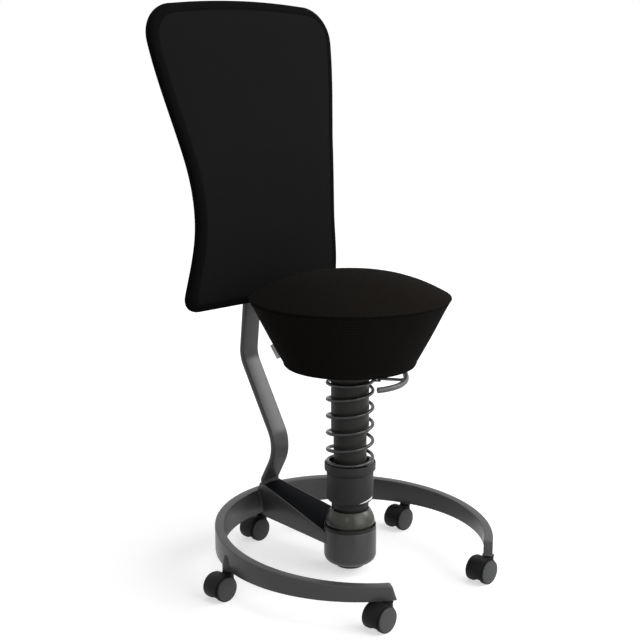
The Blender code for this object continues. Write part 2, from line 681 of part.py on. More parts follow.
def column(metal, plastic, steel, strut, collar_joint, knob_joint, sleeve, lift):
    """Turn the telescoping pieces of the column, from the strut out to the lift cylinder."""
    strut_bottom = PIVOT_HEIGHT - STRUT_DEPTH
    turned("strut_tube", [(0.0, strut_bottom + STRUT_FLOOR), (STRUT_BORE, strut_bottom + STRUT_FLOOR),
                          (STRUT_BORE, STRUT_TOP), (STRUT_RADIUS, STRUT_TOP), (STRUT_RADIUS, strut_bottom),
                          (0.0, strut_bottom)], metal, strut)
    turned("strut_neck", [(NECK_RADIUS, NECK_TOP), (NECK_RADIUS, NECK_BOTTOM + NECK_CHAMFER),
                          (NECK_RADIUS - NECK_CHAMFER, NECK_BOTTOM), (SLIDE_RADIUS, NECK_BOTTOM),
                          (SLIDE_RADIUS, NECK_TOP)], plastic, strut)

    skirt = KNOB_RADIUS - KNOB_SKIRT_WALL
    turned("preload_knob", [(KNOB_RADIUS, KNOB_TOP), (KNOB_RADIUS, KNOB_BOTTOM + KNOB_CHAMFER),
                            (KNOB_RADIUS - KNOB_CHAMFER, KNOB_BOTTOM), (skirt, KNOB_BOTTOM),
                            (skirt, KNOB_TOP - KNOB_CROWN), (SLIDE_RADIUS, KNOB_TOP - KNOB_CROWN),
                            (SLIDE_RADIUS, KNOB_TOP)], plastic, knob_joint)
    rim = COLLAR_BORE + COLLAR_WALL
    turned("spring_collar", [(rim, COLLAR_TOP), (rim, COLLAR_BOTTOM + COLLAR_CHAMFER),
                             (rim - COLLAR_CHAMFER, COLLAR_BOTTOM), (SLIDE_RADIUS, COLLAR_BOTTOM),
                             (SLIDE_RADIUS, COLLAR_FLOOR), (COLLAR_BORE, COLLAR_FLOOR),
                             (COLLAR_BORE, COLLAR_TOP)], plastic, collar_joint)

    sleeve_top = PERCH_BOTTOM - CLEARANCE
    turned("dust_sleeve", [(SLEEVE_RADIUS, sleeve_top), (SLEEVE_RADIUS, SLEEVE_BOTTOM),
                           (SLIDE_RADIUS, SLEEVE_BOTTOM), (SLIDE_RADIUS, sleeve_top)], metal, sleeve)
    turned("spring_perch", [(PERCH_RADIUS, PERCH_TOP), (PERCH_RADIUS, PERCH_BOTTOM),
                            (STRUT_BORE, PERCH_BOTTOM), (STRUT_BORE, PERCH_TOP)], metal, sleeve)
    rod_seat = GUIDE_BOTTOM + GUIDE_FLOOR
    turned("guide_tube", [(0.0, rod_seat), (GUIDE_BORE, rod_seat), (GUIDE_BORE, PERCH_TOP),
                          (GUIDE_RADIUS, PERCH_TOP), (GUIDE_RADIUS, GUIDE_BOTTOM), (0.0, GUIDE_BOTTOM)],
           steel, sleeve)
    bush_radius, bush_bore = GUIDE_BORE - CLEARANCE, LIFT_RADIUS + CLEARANCE
    bush_bottom = PERCH_TOP - BUSH_LENGTH
    turned("guide_bush", [(bush_radius, PERCH_TOP), (bush_radius, bush_bottom), (bush_bore, bush_bottom),
                          (bush_bore, PERCH_TOP)], plastic, sleeve)
    turned("piston_rod", [(0.0, ROD_TOP), (ROD_RADIUS, ROD_TOP), (ROD_RADIUS, rod_seat + CLEARANCE),
                          (0.0, rod_seat + CLEARANCE)], steel, sleeve, SMALL_STEPS)

    rod_bore, valve_bore = ROD_RADIUS + CLEARANCE, VALVE_RADIUS + CLEARANCE
    valve_seat = LIFT_TOP - VALVE_DEPTH
    turned("lift_cylinder", [(0.0, valve_seat), (valve_bore, valve_seat), (valve_bore, LIFT_TOP),
                             (LIFT_RADIUS - LIFT_ROUND, LIFT_TOP), (LIFT_RADIUS, LIFT_TOP - LIFT_ROUND),
                             (LIFT_RADIUS, LIFT_BOTTOM), (rod_bore, LIFT_BOTTOM), (rod_bore, ROD_BORE_TOP),
                             (0.0, ROD_BORE_TOP)], steel, lift)
    turned("valve_pin", [(0.0, VALVE_TOP), (VALVE_RADIUS, VALVE_TOP), (VALVE_RADIUS, valve_seat + CLEARANCE),
                         (0.0, valve_seat + CLEARANCE)], steel, lift, SMALL_STEPS)


def spring_points():
    """Give the helix's points from the collar to the perch, with closed turns at both ends."""
    turns = SPRING_ACTIVE_TURNS + 2 * SPRING_CLOSED_TURNS
    count = round(turns * SPRING_POINTS_PER_TURN)
    closed_rise = SPRING_CLOSED_TURNS * SPRING_CLOSED_PITCH
    active_rise = SPRING_TOP - SPRING_BOTTOM - 2 * closed_rise
    points = []
    for step in range(count + 1):
        turn_count = turns * step / count
        active = min(max(turn_count - SPRING_CLOSED_TURNS, 0.0), SPRING_ACTIVE_TURNS)
        rise = (turn_count - active) * SPRING_CLOSED_PITCH + active_rise * active / SPRING_ACTIVE_TURNS
        angle = math.radians(SPRING_PHASE) + 2 * math.pi * turn_count
        points.append(Vector((SPRING_RADIUS * math.cos(angle), SPRING_RADIUS * math.sin(angle),
                              SPRING_BOTTOM + rise)))
    return points


def coil_spring(steel, collar_joint):
    """Wind the spring as one unbroken bar and print its least gap to itself."""
    points = spring_points()
    apart = SPRING_POINTS_PER_TURN // 2
    least = min((one - two).length for index, one in enumerate(points) for two in points[index + apart:])
    print(f"coil_spring least gap to itself: {(least - 2 * SPRING_WIRE_RADIUS) * 1000:.2f} mm")
    add_part("coil_spring", tube_curve("coil_spring", points, SPRING_WIRE_RADIUS, 1), steel, collar_joint)


def seat_profile():
    """Give the cushion's outline: domed top, seam at the rim, sides drawn in and a rounded foot."""
    dome = []
    for ring in range(SEAT_CROWN_RINGS + 1):
        share = ring / SEAT_CROWN_RINGS
        dome.append((SEAT_RIM_RADIUS * share, SEAT_RIM_HEIGHT + SEAT_CROWN * (1 - share ** SEAT_CROWN_POWER)))
    foot = (SEAT_BASE_RADIUS, SEAT_BASE_HEIGHT + SEAT_EDGE_ROUND)
    below_seam = (SEAT_RIM_RADIUS - SEAT_SEAM, SEAT_RIM_HEIGHT - 2 * SEAT_SEAM)
    side = []
    for ring in range(SEAT_SIDE_RINGS + 1):
        share = ring / SEAT_SIDE_RINGS
        bulge = SEAT_SIDE_BULGE * math.sin(math.pi * share)
        side.append((between(below_seam[0], foot[0], share) + bulge, between(below_seam[1], foot[1], share)))
    edge = arc((SEAT_BASE_RADIUS - SEAT_EDGE_ROUND, foot[1]), SEAT_EDGE_ROUND, 0.0, -90.0, ARC_STEPS)[1:]
    return dome + side + edge


def seat(fabric, wood, metal, joint):
    """Stack the mechanism plate, the board and the cushion that is upholstered over it."""
    recess = BOARD_RADIUS + CLEARANCE
    cover = seat_profile() + [(recess, SEAT_BASE_HEIGHT), (recess, BOARD_TOP + CLEARANCE),
                              (0.0, BOARD_TOP + CLEARANCE)]
    turned("seat_cushion", cover, fabric, joint, SEAT_STEPS)
    eye = VALVE_RADIUS + HUB_WALL
    turned("seat_board", [(BOARD_RADIUS, BOARD_TOP), (BOARD_RADIUS, BOARD_BOTTOM), (eye, BOARD_BOTTOM),
                          (eye, BOARD_TOP)], wood, joint)

    hub_bore = LIFT_RADIUS + CLEARANCE
    hub_bottom = PLATE_BOTTOM - HUB_DROP
    section = [(PLATE_RADIUS - PLATE_EDGE, PLATE_TOP), (PLATE_RADIUS, PLATE_TOP - PLATE_EDGE),
               (PLATE_RADIUS, PLATE_BOTTOM), (hub_bore + HUB_WALL, PLATE_BOTTOM),
               (hub_bore + HUB_WALL, hub_bottom), (hub_bore, hub_bottom), (hub_bore, PLATE_BOTTOM),
               (eye, PLATE_BOTTOM), (eye, PLATE_TOP)]
    return turned("seat_plate", section, metal, joint)


def lever_handle(angle):
    """Give the handle's point at an angle from the front: it swings out along the seat's edge."""
    share = (LEVER_HANDLE_START - angle) / (LEVER_HANDLE_START - LEVER_HANDLE_END)
    radius = between(LEVER_HANDLE_NEAR, LEVER_HANDLE_FAR, ease(share))
    turned_by = math.radians(angle)
    return Vector((radius * math.sin(turned_by), -radius * math.cos(turned_by), LEVER_HEIGHT))


def lever_frame():
    """Give the lever's pivot and the turn that lays a local +X outwards along its leg."""
    pivot = Vector((*LEVER_PIVOT, LEVER_HEIGHT))
    leg = lever_handle(LEVER_JOIN) - pivot
    return Matrix.Translation(pivot) @ Matrix.Rotation(math.atan2(leg.y, leg.x), 4, "Z")


def lever_box(name, length, width, bottom, top):
    """Make a box about the lever's pivot, long outwards, between two heights."""
    def build(work):
        shape = Matrix.Diagonal((length, width, top - bottom, 1.0))
        lift = Matrix.Translation((0.0, 0.0, (bottom + top) / 2 - LEVER_HEIGHT))
        bmesh.ops.create_cube(work, size=1.0, matrix=lever_frame() @ lift @ shape)
    return add_cutter(name, mesh_from(name, build))


def lever_pin_mesh(name, radius, length):
    """Make a pin across the lever at its pivot."""
    def build(work):
        across = Matrix.Rotation(math.pi / 2, 4, "X")
        bmesh.ops.create_cone(work, cap_ends=True, segments=SMALL_STEPS, radius1=radius, radius2=radius,
                              depth=length, matrix=lever_frame() @ across)
    return mesh_from(name, build)


def lift_lever(plate, steel, seat_joint, lever_joint):
    """Hang the height lever on a slotted lug under the seat plate, on a pin."""
    lug_bottom = LEVER_HEIGHT - LUG_BELOW_PIN
    combine(plate, lever_box("lever_lug", LUG_LENGTH, LUG_WIDTH, lug_bottom, PLATE_TOP - PLATE_THICKNESS / 2),
            "UNION")
    combine(plate, lever_box("lever_slot", LUG_LENGTH + THROUGH, 2 * (LEVER_LEG_RADIUS + CLEARANCE),
                             lug_bottom - THROUGH, PLATE_BOTTOM - CLEARANCE), "DIFFERENCE")
    pin_bore = lever_pin_mesh("lever_pin_bore", PIN_RADIUS + CLEARANCE, 2 * LUG_WIDTH)
    combine(plate, add_cutter("lever_pin_bore", pin_bore), "DIFFERENCE")
    add_part("lever_pin", lever_pin_mesh("lever_pin", PIN_RADIUS, LUG_WIDTH), steel, seat_joint)

    step = (LEVER_HANDLE_END - LEVER_HANDLE_START) / (LEVER_POINTS - 1)
    line = [lever_handle(LEVER_HANDLE_START + step * index) for index in range(LEVER_POINTS)]
    handle = tube_mesh("height_lever", line, LEVER_HANDLE_RADIUS, 2)
    lever = add_part("height_lever", handle, steel, lever_joint)
    heel = lever_frame() @ Vector((-LUG_LENGTH / 2, 0.0, 0.0))
    leg = tube_mesh("lever_leg", [heel, lever_handle(LEVER_JOIN)], LEVER_LEG_RADIUS, 2)
    combine(lever, add_cutter("lever_leg", leg), "UNION")
    eye = add_cutter("lever_eye", lever_pin_mesh("lever_eye", PIN_RADIUS + CLEARANCE, LUG_WIDTH))
    combine(lever, eye, "DIFFERENCE")


def back_curve(height):
    """Give the backrest's mid-plane y at a height: it bulges at the lumbar and leans back above it."""
    rise = height - BACK_LUMBAR_HEIGHT
    if rise < 0.0:
        return BACK_LUMBAR_Y + BACK_BEND_BELOW * rise ** 2
    straight_from = BACK_LEAN / (2 * BACK_BEND_ABOVE)
    if rise < straight_from:
        return BACK_LUMBAR_Y + BACK_BEND_ABOVE * rise ** 2
    return BACK_LUMBAR_Y + BACK_BEND_ABOVE * straight_from ** 2 + BACK_LEAN * (rise - straight_from)


def back_half_width(height, inset):
    """Give half the backrest's width at a height, drawn in by an inset and round at the corners."""
    if height > BACK_WAIST_HEIGHT:
        share = (height - BACK_WAIST_HEIGHT) / (BACK_TOP_WIDEST - BACK_WAIST_HEIGHT)
        half = between(BACK_WAIST_HALF_WIDTH, BACK_TOP_HALF_WIDTH, ease(share))
    else:
        share = (BACK_WAIST_HEIGHT - height) / (BACK_WAIST_HEIGHT - BACK_BOTTOM)
        half = between(BACK_WAIST_HALF_WIDTH, BACK_BOTTOM_HALF_WIDTH, ease(share))
    for limit, radius in ((BACK_TOP, BACK_TOP_CORNER), (BACK_BOTTOM, BACK_BOTTOM_CORNER)):
        into = radius - abs(limit - height)
        if into > 0.0:
            half -= radius - math.sqrt(max(radius ** 2 - into ** 2, 0.0))
    return half - inset


def back_row_height(share, inset):
    """Give the height of a row of points; rows crowd towards the rounded corners."""
    eased = share - math.sin(2 * math.pi * share) / (2 * math.pi) * ROW_CROWDING
    return between(BACK_BOTTOM + inset, BACK_TOP - inset, eased)


def back_point(across, share, inset):
    """Give a point of the backrest's face as x and height; the top edge is crowned."""
    height = back_row_height(share, inset)
    crown = BACK_TOP_CROWN * (1 - across ** 2) * max(2 * share - 1, 0.0) ** 4
    return across * back_half_width(height, inset), height + crown


def pillow_depth(across, share, half_depth):
    """Give a pad's half depth, full inside and round at the border."""
    edge_x = (1 - abs(across)) * BACK_WAIST_HALF_WIDTH
    edge_z = min(share, 1 - share) * (BACK_TOP - BACK_BOTTOM)
    near = min(edge_x, edge_z, PAD_EDGE) / PAD_EDGE
    return half_depth * math.sqrt(max(1 - (1 - near) ** 2, 0.0))


def spread(value):
    """Crowd evenly spaced values from -1 to 1 towards both ends."""
    return math.sin(value * math.pi / 2)


def back_pad(fabric):
    """Sew two panels at their border: a crowned front and a back that lies on the shell."""
    def build(work):
        for side in (-1.0, 1.0):
            panel = bmesh.ops.create_grid(work, x_segments=PAD_COLUMNS, y_segments=PAD_ROWS, size=1.0)["verts"]
            for vertex in panel:
                across, share = spread(vertex.co.x), (vertex.co.y + 1) / 2
                x, height = back_point(across, share, 0.0)
                rows = (back_row_height(share, 0.0) - BACK_BOTTOM) / (BACK_TOP - BACK_BOTTOM)
                depth = pillow_depth(across, rows, PAD_THICKNESS / 2)
                vertex.co = (x, back_curve(height) + side * depth, height)
        bmesh.ops.remove_doubles(work, verts=work.verts, dist=0.00001)
    add_part("back_pad", mesh_from("back_pad", build), fabric)


def back_shell(plastic):
    """Curve a shell to the pad's back, inside its border."""
    def build(work):
        bmesh.ops.create_grid(work, x_segments=PAD_COLUMNS // 2, y_segments=PAD_ROWS // 2 + 4, size=1.0)
        for vertex in work.verts:
            across, share = vertex.co.x, (vertex.co.y + 1) / 2
            x, height = back_point(across, share, SHELL_INSET)
            vertex.co = (x, back_curve(height) + SHELL_FRONT_OFFSET, height)
        thicken(work, lambda point: (0.0, SHELL_THICKNESS, 0.0))
    return add_part("back_shell", mesh_from("back_shell", build), plastic)


def bar_head():
    """Give the ends of the bar's straight head, which bears on the shell's back."""
    behind = SHELL_FRONT_OFFSET + SHELL_THICKNESS + CLEARANCE + BAR_THICKNESS / 2
    return [(back_curve(z) + behind, z) for z in (BAR_HEAD_BOTTOM, BAR_HEAD_TOP)]


def bar_line():
    """Give the upright's centre line as (y, z) points, from the arm's heel to the backrest shell."""
    foot_y = ARM_REAR_Y - ARM_FOOT_LENGTH / 2
    foot = ARM_TOP_REAR + CLEARANCE
    knee = (foot_y - BAR_KNEE_FORWARD, ARM_TOP_REAR + BAR_KNEE_RISE)
    heel = (BACK_LUMBAR_Y + BAR_HEEL_BEHIND, BACK_BOTTOM - BAR_HEEL_DROP)
    shoulder_height = BACK_BOTTOM + BAR_SHOULDER_RISE
    shoulder = (back_curve(shoulder_height) + BAR_SHOULDER_BEHIND, shoulder_height)
    knees = [(foot_y, foot), (foot_y, foot + BAR_FOOT_RISE), knee, heel, shoulder] + bar_head()
    radii = (BAR_FOOT_RADIUS, BAR_KNEE_RADIUS, BAR_HEEL_RADIUS, BAR_SHOULDER_RADIUS, BAR_SHOULDER_RADIUS)
    return filleted(knees, radii, ARC_STEPS)


def back_upright(metal):
    """Bend the flat bar: its centre line drawn out to a ribbon, thickened, with rounded edges."""
    half = BAR_WIDTH / 2

    def build(work):
        rows = [(work.verts.new((-half, y, z)), work.verts.new((half, y, z))) for y, z in bar_line()]
        for (left, right), (next_left, next_right) in zip(rows, rows[1:]):
            work.faces.new((left, right, next_right, next_left))

    bar = add_part("back_upright", mesh_from("back_upright", build), metal)
    thick = bar.modifiers.new("thickness", "SOLIDIFY")
    thick.thickness = BAR_THICKNESS
    thick.offset = 0.0
    edge = bar.modifiers.new("edges", "BEVEL")
    edge.width = BAR_EDGE
    edge.segments = 1
    edge.limit_method = "ANGLE"
    edge.angle_limit = math.radians(BAR_EDGE_ANGLE)
    return bar


def castor(name, plastic, rubber, steel):
    """Build one twin-wheel castor round its stem axis, with its parts local to the swivel."""
    x, y = castor_place(name)
    swivel = joint_point(f"castor_{name}_swivel", (x, y, 0.0), heading=CASTOR_HEADING)
    stem_edges = profile_mesh(f"castor_{name}_stem", stem_profile())
    stem = add_part(f"castor_{name}_stem", stem_edges, steel, swivel, True)
    turn(stem, SMALL_STEPS)
    hood(name, swivel, plastic)
    axle = add_part(f"castor_{name}_axle", profile_mesh(f"castor_{name}_axle", [
        (0.0, AXLE_LENGTH / 2), (AXLE_RADIUS, AXLE_LENGTH / 2), (AXLE_RADIUS, -AXLE_LENGTH / 2),
        (0.0, -AXLE_LENGTH / 2)]), steel, swivel, True)
    axle.location = (-CASTOR_TRAIL, 0.0, AXLE_HEIGHT)
    axle.rotation_euler = (math.pi / 2, 0.0, 0.0)
    turn(axle, SMALL_STEPS)
    for label, side in (("wheel_a", -1.0), ("wheel_b", 1.0)):
        wheel = add_part(f"castor_{name}_{label}", profile_mesh(f"castor_{name}_{label}", wheel_profile()),
                         rubber, swivel, True)
        wheel.location = (-CASTOR_TRAIL, side * WHEEL_INNER_FACE, AXLE_HEIGHT)
        wheel.rotation_euler = (-side * math.pi / 2, 0.0, 0.0)
        turn(wheel, WHEEL_STEPS)


def stem_profile():
    """Give the stem's outline: a pin in the ring, a collar under it and a tail in the hood."""
    collar_bottom = HOOD_TOP + CLEARANCE
    return [(0.0, RING_BOTTOM_FRONT + STEM_DEPTH), (STEM_RADIUS, RING_BOTTOM_FRONT + STEM_DEPTH),
            (STEM_RADIUS, collar_bottom + STEM_COLLAR_HEIGHT),
            (STEM_COLLAR_RADIUS, collar_bottom + STEM_COLLAR_HEIGHT), (STEM_COLLAR_RADIUS, collar_bottom),
            (STEM_RADIUS, collar_bottom), (STEM_RADIUS, STEM_BOTTOM), (0.0, STEM_BOTTOM)]


def wheel_profile():
    """Give a wheel's outline from its dished outer face, at the top, to its inner face and blind bore."""
    bore = AXLE_RADIUS + CLEARANCE
    return [(0.0, WHEEL_WIDTH - WHEEL_DISH), (WHEEL_DISH_RADIUS, WHEEL_WIDTH - WHEEL_DISH),
            (WHEEL_RIM_RADIUS, WHEEL_WIDTH), (WHEEL_RADIUS - WHEEL_TREAD_ROUND, WHEEL_WIDTH),
            (WHEEL_RADIUS, WHEEL_WIDTH - WHEEL_TREAD_ROUND), (WHEEL_RADIUS, WHEEL_TREAD_ROUND / 2),
            (WHEEL_RADIUS - WHEEL_TREAD_ROUND / 2, 0.0), (bore, 0.0), (bore, WHEEL_WIDTH - WHEEL_CAP),
            (0.0, WHEEL_WIDTH - WHEEL_CAP)]


def hood(name, swivel, plastic):
    """Shape the hood: a web between the wheels, a canopy over them and a boss round the stem."""
    centre = (-CASTOR_TRAIL, AXLE_HEIGHT)
    label = f"castor_{name}_hood"
    web_outline = arc(centre, CANOPY_OUTER_RADIUS, HOOD_START, HOOD_END, HOOD_STEPS)
    web_outline.append((centre[0] - WEB_HALF_LENGTH, centre[1] - WEB_DROP))
    web_outline.append((centre[0] + WEB_HALF_LENGTH, centre[1] - WEB_DROP))
    canopy_outline = arc(centre, CANOPY_OUTER_RADIUS, HOOD_START, HOOD_END, HOOD_STEPS)
    canopy_outline += arc(centre, CANOPY_INNER_RADIUS, HOOD_END, HOOD_START, HOOD_STEPS)

    part = add_part(label, flat_mesh(label, web_outline, HOOD_WIDTH), plastic, swivel, True)
    canopy = flat_mesh(f"{label}_canopy", canopy_outline, HOOD_CANOPY_WIDTH)
    combine(part, add_cutter(f"{label}_canopy", canopy), "UNION")
    combine(part, round_cutter(f"{label}_boss", HOOD_BOSS_RADIUS, AXLE_HEIGHT, HOOD_TOP), "UNION")
    combine(part, round_cutter(f"{label}_stem_bore", STEM_RADIUS + CLEARANCE, STEM_BOTTOM - CLEARANCE,
                               HOOD_TOP + THROUGH), "DIFFERENCE")
    bore = add_cutter(f"{label}_axle_bore", flat_mesh(f"{label}_axle_bore", arc(
        centre, AXLE_RADIUS + CLEARANCE, 0.0, 360.0 - 360.0 / SMALL_STEPS, SMALL_STEPS - 1), 2 * HOOD_WIDTH))
    combine(part, bore, "DIFFERENCE")


def flat_mesh(name, outline, width):
    """Extrude a closed outline of (x, z) points to both sides of the plane y = 0."""
    def build(work):
        work.faces.new([work.verts.new((x, -width / 2, z)) for x, z in outline])
        thicken(work, lambda point: (0.0, width, 0.0))
    return mesh_from(name, build)


def bolt_frame(height):
    """Give a bolt's place on the bar's head, with its local Z square to the bar and out of its back."""
    (low_y, low_z), (high_y, high_z) = bar_head()
    y = between(low_y, high_y, (height - low_z) / (high_z - low_z))
    tilt = math.atan2(high_y - low_y, high_z - low_z)
    return Matrix.Translation((0.0, y, height)) @ Matrix.Rotation(-math.pi / 2 - tilt, 4, "X")


def back_bolts(bar, shell, steel):
    """Set the bolts through the bar's head into the shell, with round heads on the bar's back."""
    seat_level = BAR_THICKNESS / 2 + CLEARANCE
    tip = -BAR_THICKNESS / 2 - SHELL_THICKNESS + BOLT_TIP_COVER
    for number in range(BOLT_COUNT):
        height = BAR_HEAD_BOTTOM + BOLT_BORDER + BOLT_SPACING * number
        label = f"back_bolt_{number + 1}"
        bolt = add_part(label, profile_mesh(label, [
            (0.0, seat_level + BOLT_HEAD_HEIGHT), (BOLT_TOP_RADIUS, seat_level + BOLT_HEAD_HEIGHT),
            (BOLT_HEAD_RADIUS, seat_level + BOLT_RIM_HEIGHT), (BOLT_HEAD_RADIUS, seat_level),
            (BOLT_RADIUS, seat_level), (BOLT_RADIUS, tip), (0.0, tip)]), steel)
        bolt.matrix_world = bolt_frame(height)
        turn(bolt, SMALL_STEPS)
        bore = round_cutter(f"{label}_bore", BOLT_RADIUS + CLEARANCE, tip - CLEARANCE, THROUGH)
        bore.matrix_world = bolt_frame(height)
        for held in (bar, shell):
            combine(held, bore, "DIFFERENCE")


def main():
    """Build the stool from the floor up."""
    clear_scene()
    metal = finish("powder_coat", (0.045, 0.046, 0.048), 0.5, 0.3)
    plastic = finish("black_plastic", (0.028, 0.028, 0.029), 0.45, 0.0)
    rubber = finish("black_rubber", (0.030, 0.030, 0.029), 0.6, 0.0)
    tyre = finish("castor_plastic", (0.040, 0.042, 0.045), 0.4, 0.0)
    steel = finish("dark_steel", (0.060, 0.061, 0.063), 0.35, 0.8)
    wood = finish("seat_board", (0.022, 0.019, 0.017), 0.7, 0.0)
    fabric = finish("black_fabric", (0.010, 0.009, 0.008), 0.9, 0.0)

    base_ring(metal)
    base_arm(metal)
    arm_cover(plastic)
    for name in CASTOR_ANGLES:
        castor(name, plastic, tyre, steel)

    pivot = (0.0, 0.0, PIVOT_HEIGHT)
    liner_joint = joint_point("tilt_fore_aft_axis", pivot)
    strut_joint = joint_point("tilt_side_axis", pivot, liner_joint)
    collar_joint = joint_point("preload_axis", (0.0, 0.0, COLLAR_BOTTOM), strut_joint)
    knob_joint = joint_point("knob_axis", (0.0, 0.0, KNOB_BOTTOM), collar_joint)
    sleeve_joint = joint_point("bounce_axis", (0.0, 0.0, SLEEVE_BOTTOM), strut_joint)
    lift_joint = joint_point("height_axis", (0.0, 0.0, LIFT_BOTTOM), sleeve_joint)
    seat_joint = joint_point("seat_swivel_axis", (0.0, 0.0, PLATE_BOTTOM), lift_joint)
    lever_joint = joint_point("lever_axis", (*LEVER_PIVOT, LEVER_HEIGHT), seat_joint)

    tilt_bearing(metal, plastic, rubber, steel, liner_joint, strut_joint)
    column(metal, plastic, steel, strut_joint, collar_joint, knob_joint, sleeve_joint, lift_joint)
    coil_spring(steel, collar_joint)
    plate = seat(fabric, wood, metal, seat_joint)
    lift_lever(plate, steel, seat_joint, lever_joint)

    back_pad(fabric)
    shell = back_shell(plastic)
    bar = back_upright(metal)
    back_bolts(bar, shell, steel)


main()
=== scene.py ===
"""Looks of a spring balance stool: its finishes, upholstery, wound spring, castors, studio and camera.

Metres, +Z up, front at -Y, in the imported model's own frame.
"""

import logging
import math
from collections.abc import Callable, Mapping, Sequence
from dataclasses import dataclass
from enum import Enum

import bmesh
import bpy
from mathutils import Matrix, Vector, noise


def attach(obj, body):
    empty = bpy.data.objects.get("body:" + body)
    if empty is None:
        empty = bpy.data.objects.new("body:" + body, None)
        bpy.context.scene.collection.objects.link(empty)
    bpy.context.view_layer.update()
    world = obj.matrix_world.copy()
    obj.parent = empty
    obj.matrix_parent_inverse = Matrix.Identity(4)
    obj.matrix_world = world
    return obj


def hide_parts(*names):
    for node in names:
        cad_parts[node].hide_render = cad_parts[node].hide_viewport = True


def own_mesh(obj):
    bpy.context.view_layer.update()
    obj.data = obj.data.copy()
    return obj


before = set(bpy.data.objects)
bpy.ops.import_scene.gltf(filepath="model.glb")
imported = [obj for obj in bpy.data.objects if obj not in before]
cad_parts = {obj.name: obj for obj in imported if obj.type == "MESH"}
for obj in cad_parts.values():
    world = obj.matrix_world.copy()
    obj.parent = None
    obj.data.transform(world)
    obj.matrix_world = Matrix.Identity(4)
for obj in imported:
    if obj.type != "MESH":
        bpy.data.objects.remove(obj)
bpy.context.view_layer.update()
LOG = logging.getLogger("stool")

Pair = tuple[float, float]
Corner = tuple[float, float, float]
Colour = tuple[float, float, float, float]

WHITE: Colour = (1.0, 1.0, 1.0, 1.0)


class Slot(Enum):
    """The record's material slots."""

    METAL = "powder_coat"
    PLASTIC = "black_plastic"
    RUBBER = "black_rubber"
    CASTOR = "castor_plastic"
    STEEL = "dark_steel"
    BOARD = "seat_board"
    FABRIC = "black_fabric"


def between(low: float, high: float, share: float) -> float:
    """Give the value a share of the way from low to high."""
    return low + (high - low) * share


def ease(share: float) -> float:
    """Give a share that starts and ends gently, held between 0 and 1."""
    return (1 - math.cos(math.pi * min(max(share, 0.0), 1.0))) / 2


def shade(red: float, green: float, blue: float) -> Colour:
    """Turn display values from 0 to 255 into a linear colour.

    Args:
        red: Display red.
        green: Display green.
        blue: Display blue.

    Returns:
        The linear colour, opaque.
    """
    linear = []
    for part in (red, green, blue):
        level = part / 255
        linear.append(level / 12.92 if level <= 0.04045 else ((level + 0.055) / 1.055) ** 2.4)
    return (linear[0], linear[1], linear[2], 1.0)


def grey(level: float) -> Colour:
    """Give an opaque grey of a linear level."""
    return (level, level, level, 1.0)


def rounded(corners: Sequence[Corner], steps: int = 5, closed: bool = False) -> list[Pair]:
    """Round the corners of a flat line.

    Args:
        corners: Points with the radius of each corner; an open line's ends stay sharp.
        steps: Segments in each rounded corner.
        closed: Whether the last point joins the first.

    Returns:
        The points of the line with its corners rounded.
    """
    line: list[Pair] = []
    count = len(corners)
    for index, (across, up, radius) in enumerate(corners):
        here = Vector((across, up))
        end = not closed and index in (0, count - 1)
        if end or radius <= 0.0:
            line.append((across, up))
            continue
        before = Vector(corners[index - 1][:2]) - here
        after = Vector(corners[(index + 1) % count][:2]) - here
        half = before.angle(after) / 2
        if half > math.pi / 2 - 0.01:
            line.append((across, up))
            continue
        reach = min(radius / math.tan(half), 0.49 * before.length, 0.49 * after.length)
        radius = reach * math.tan(half)
        before.normalize()
        after.normalize()
        centre = here + (before + after).normalized() * (radius / math.sin(half))
        start = here + before * reach - centre
        finish = here + after * reach - centre
        sweep = math.atan2(start.x * finish.y - start.y * finish.x, start.dot(finish))
        for step in range(steps + 1):
            turn = sweep * step / steps
            line.append((centre.x + start.x * math.cos(turn) - start.y * math.sin(turn),
                         centre.y + start.x * math.sin(turn) + start.y * math.cos(turn)))
    return line


def polar(radius: float, angle: float, height: float) -> Vector:
    """Give the point at a radius, an angle about Z and a height."""
    return Vector((radius * math.cos(angle), radius * math.sin(angle), height))


def lumps(point: Vector, waves: Sequence[Pair]) -> float:
    """Give a smooth uneven height at a point, from waves that each have a scale and a height."""
    return sum(noise.noise(point * scale) * height for scale, height in waves)


class Value:
    """A node's output socket; arithmetic on it adds Math nodes to its shader."""

    def __init__(self, shader: "Shader", socket: bpy.types.NodeSocket) -> None:
        """Keep the socket and the shader that it belongs to."""
        self.shader = shader
        self.socket = socket

    def _math(self, operation: str, first: "Term", second: "Term") -> "Value":
        """Add one Math node on two values."""
        made = self.shader.node("ShaderNodeMath", {"operation": operation}, {0: first, 1: second})
        return Value(self.shader, made.outputs[0])

    def __add__(self, other: "Term") -> "Value":
        """Add a value."""
        return self._math("ADD", self, other)

    def __radd__(self, other: "Term") -> "Value":
        """Add this to a value."""
        return self._math("ADD", other, self)

    def __sub__(self, other: "Term") -> "Value":
        """Take a value away."""
        return self._math("SUBTRACT", self, other)

    def __rsub__(self, other: "Term") -> "Value":
        """Take this away from a value."""
        return self._math("SUBTRACT", other, self)

    def __mul__(self, other: "Term") -> "Value":
        """Multiply by a value."""
        return self._math("MULTIPLY", self, other)

    def __rmul__(self, other: "Term") -> "Value":
        """Multiply a value by this."""
        return self._math("MULTIPLY", other, self)

    def __pow__(self, other: "Term") -> "Value":
        """Raise to a power."""
        return self._math("POWER", self, other)

    def sine(self) -> "Value":
        """Give the sine of the value."""
        return self._math("SINE", self, 0.0)

    def larger(self, other: "Term") -> "Value":
        """Give the larger of two values."""
        return self._math("MAXIMUM", self, other)


Term = Value | float | int | tuple | list


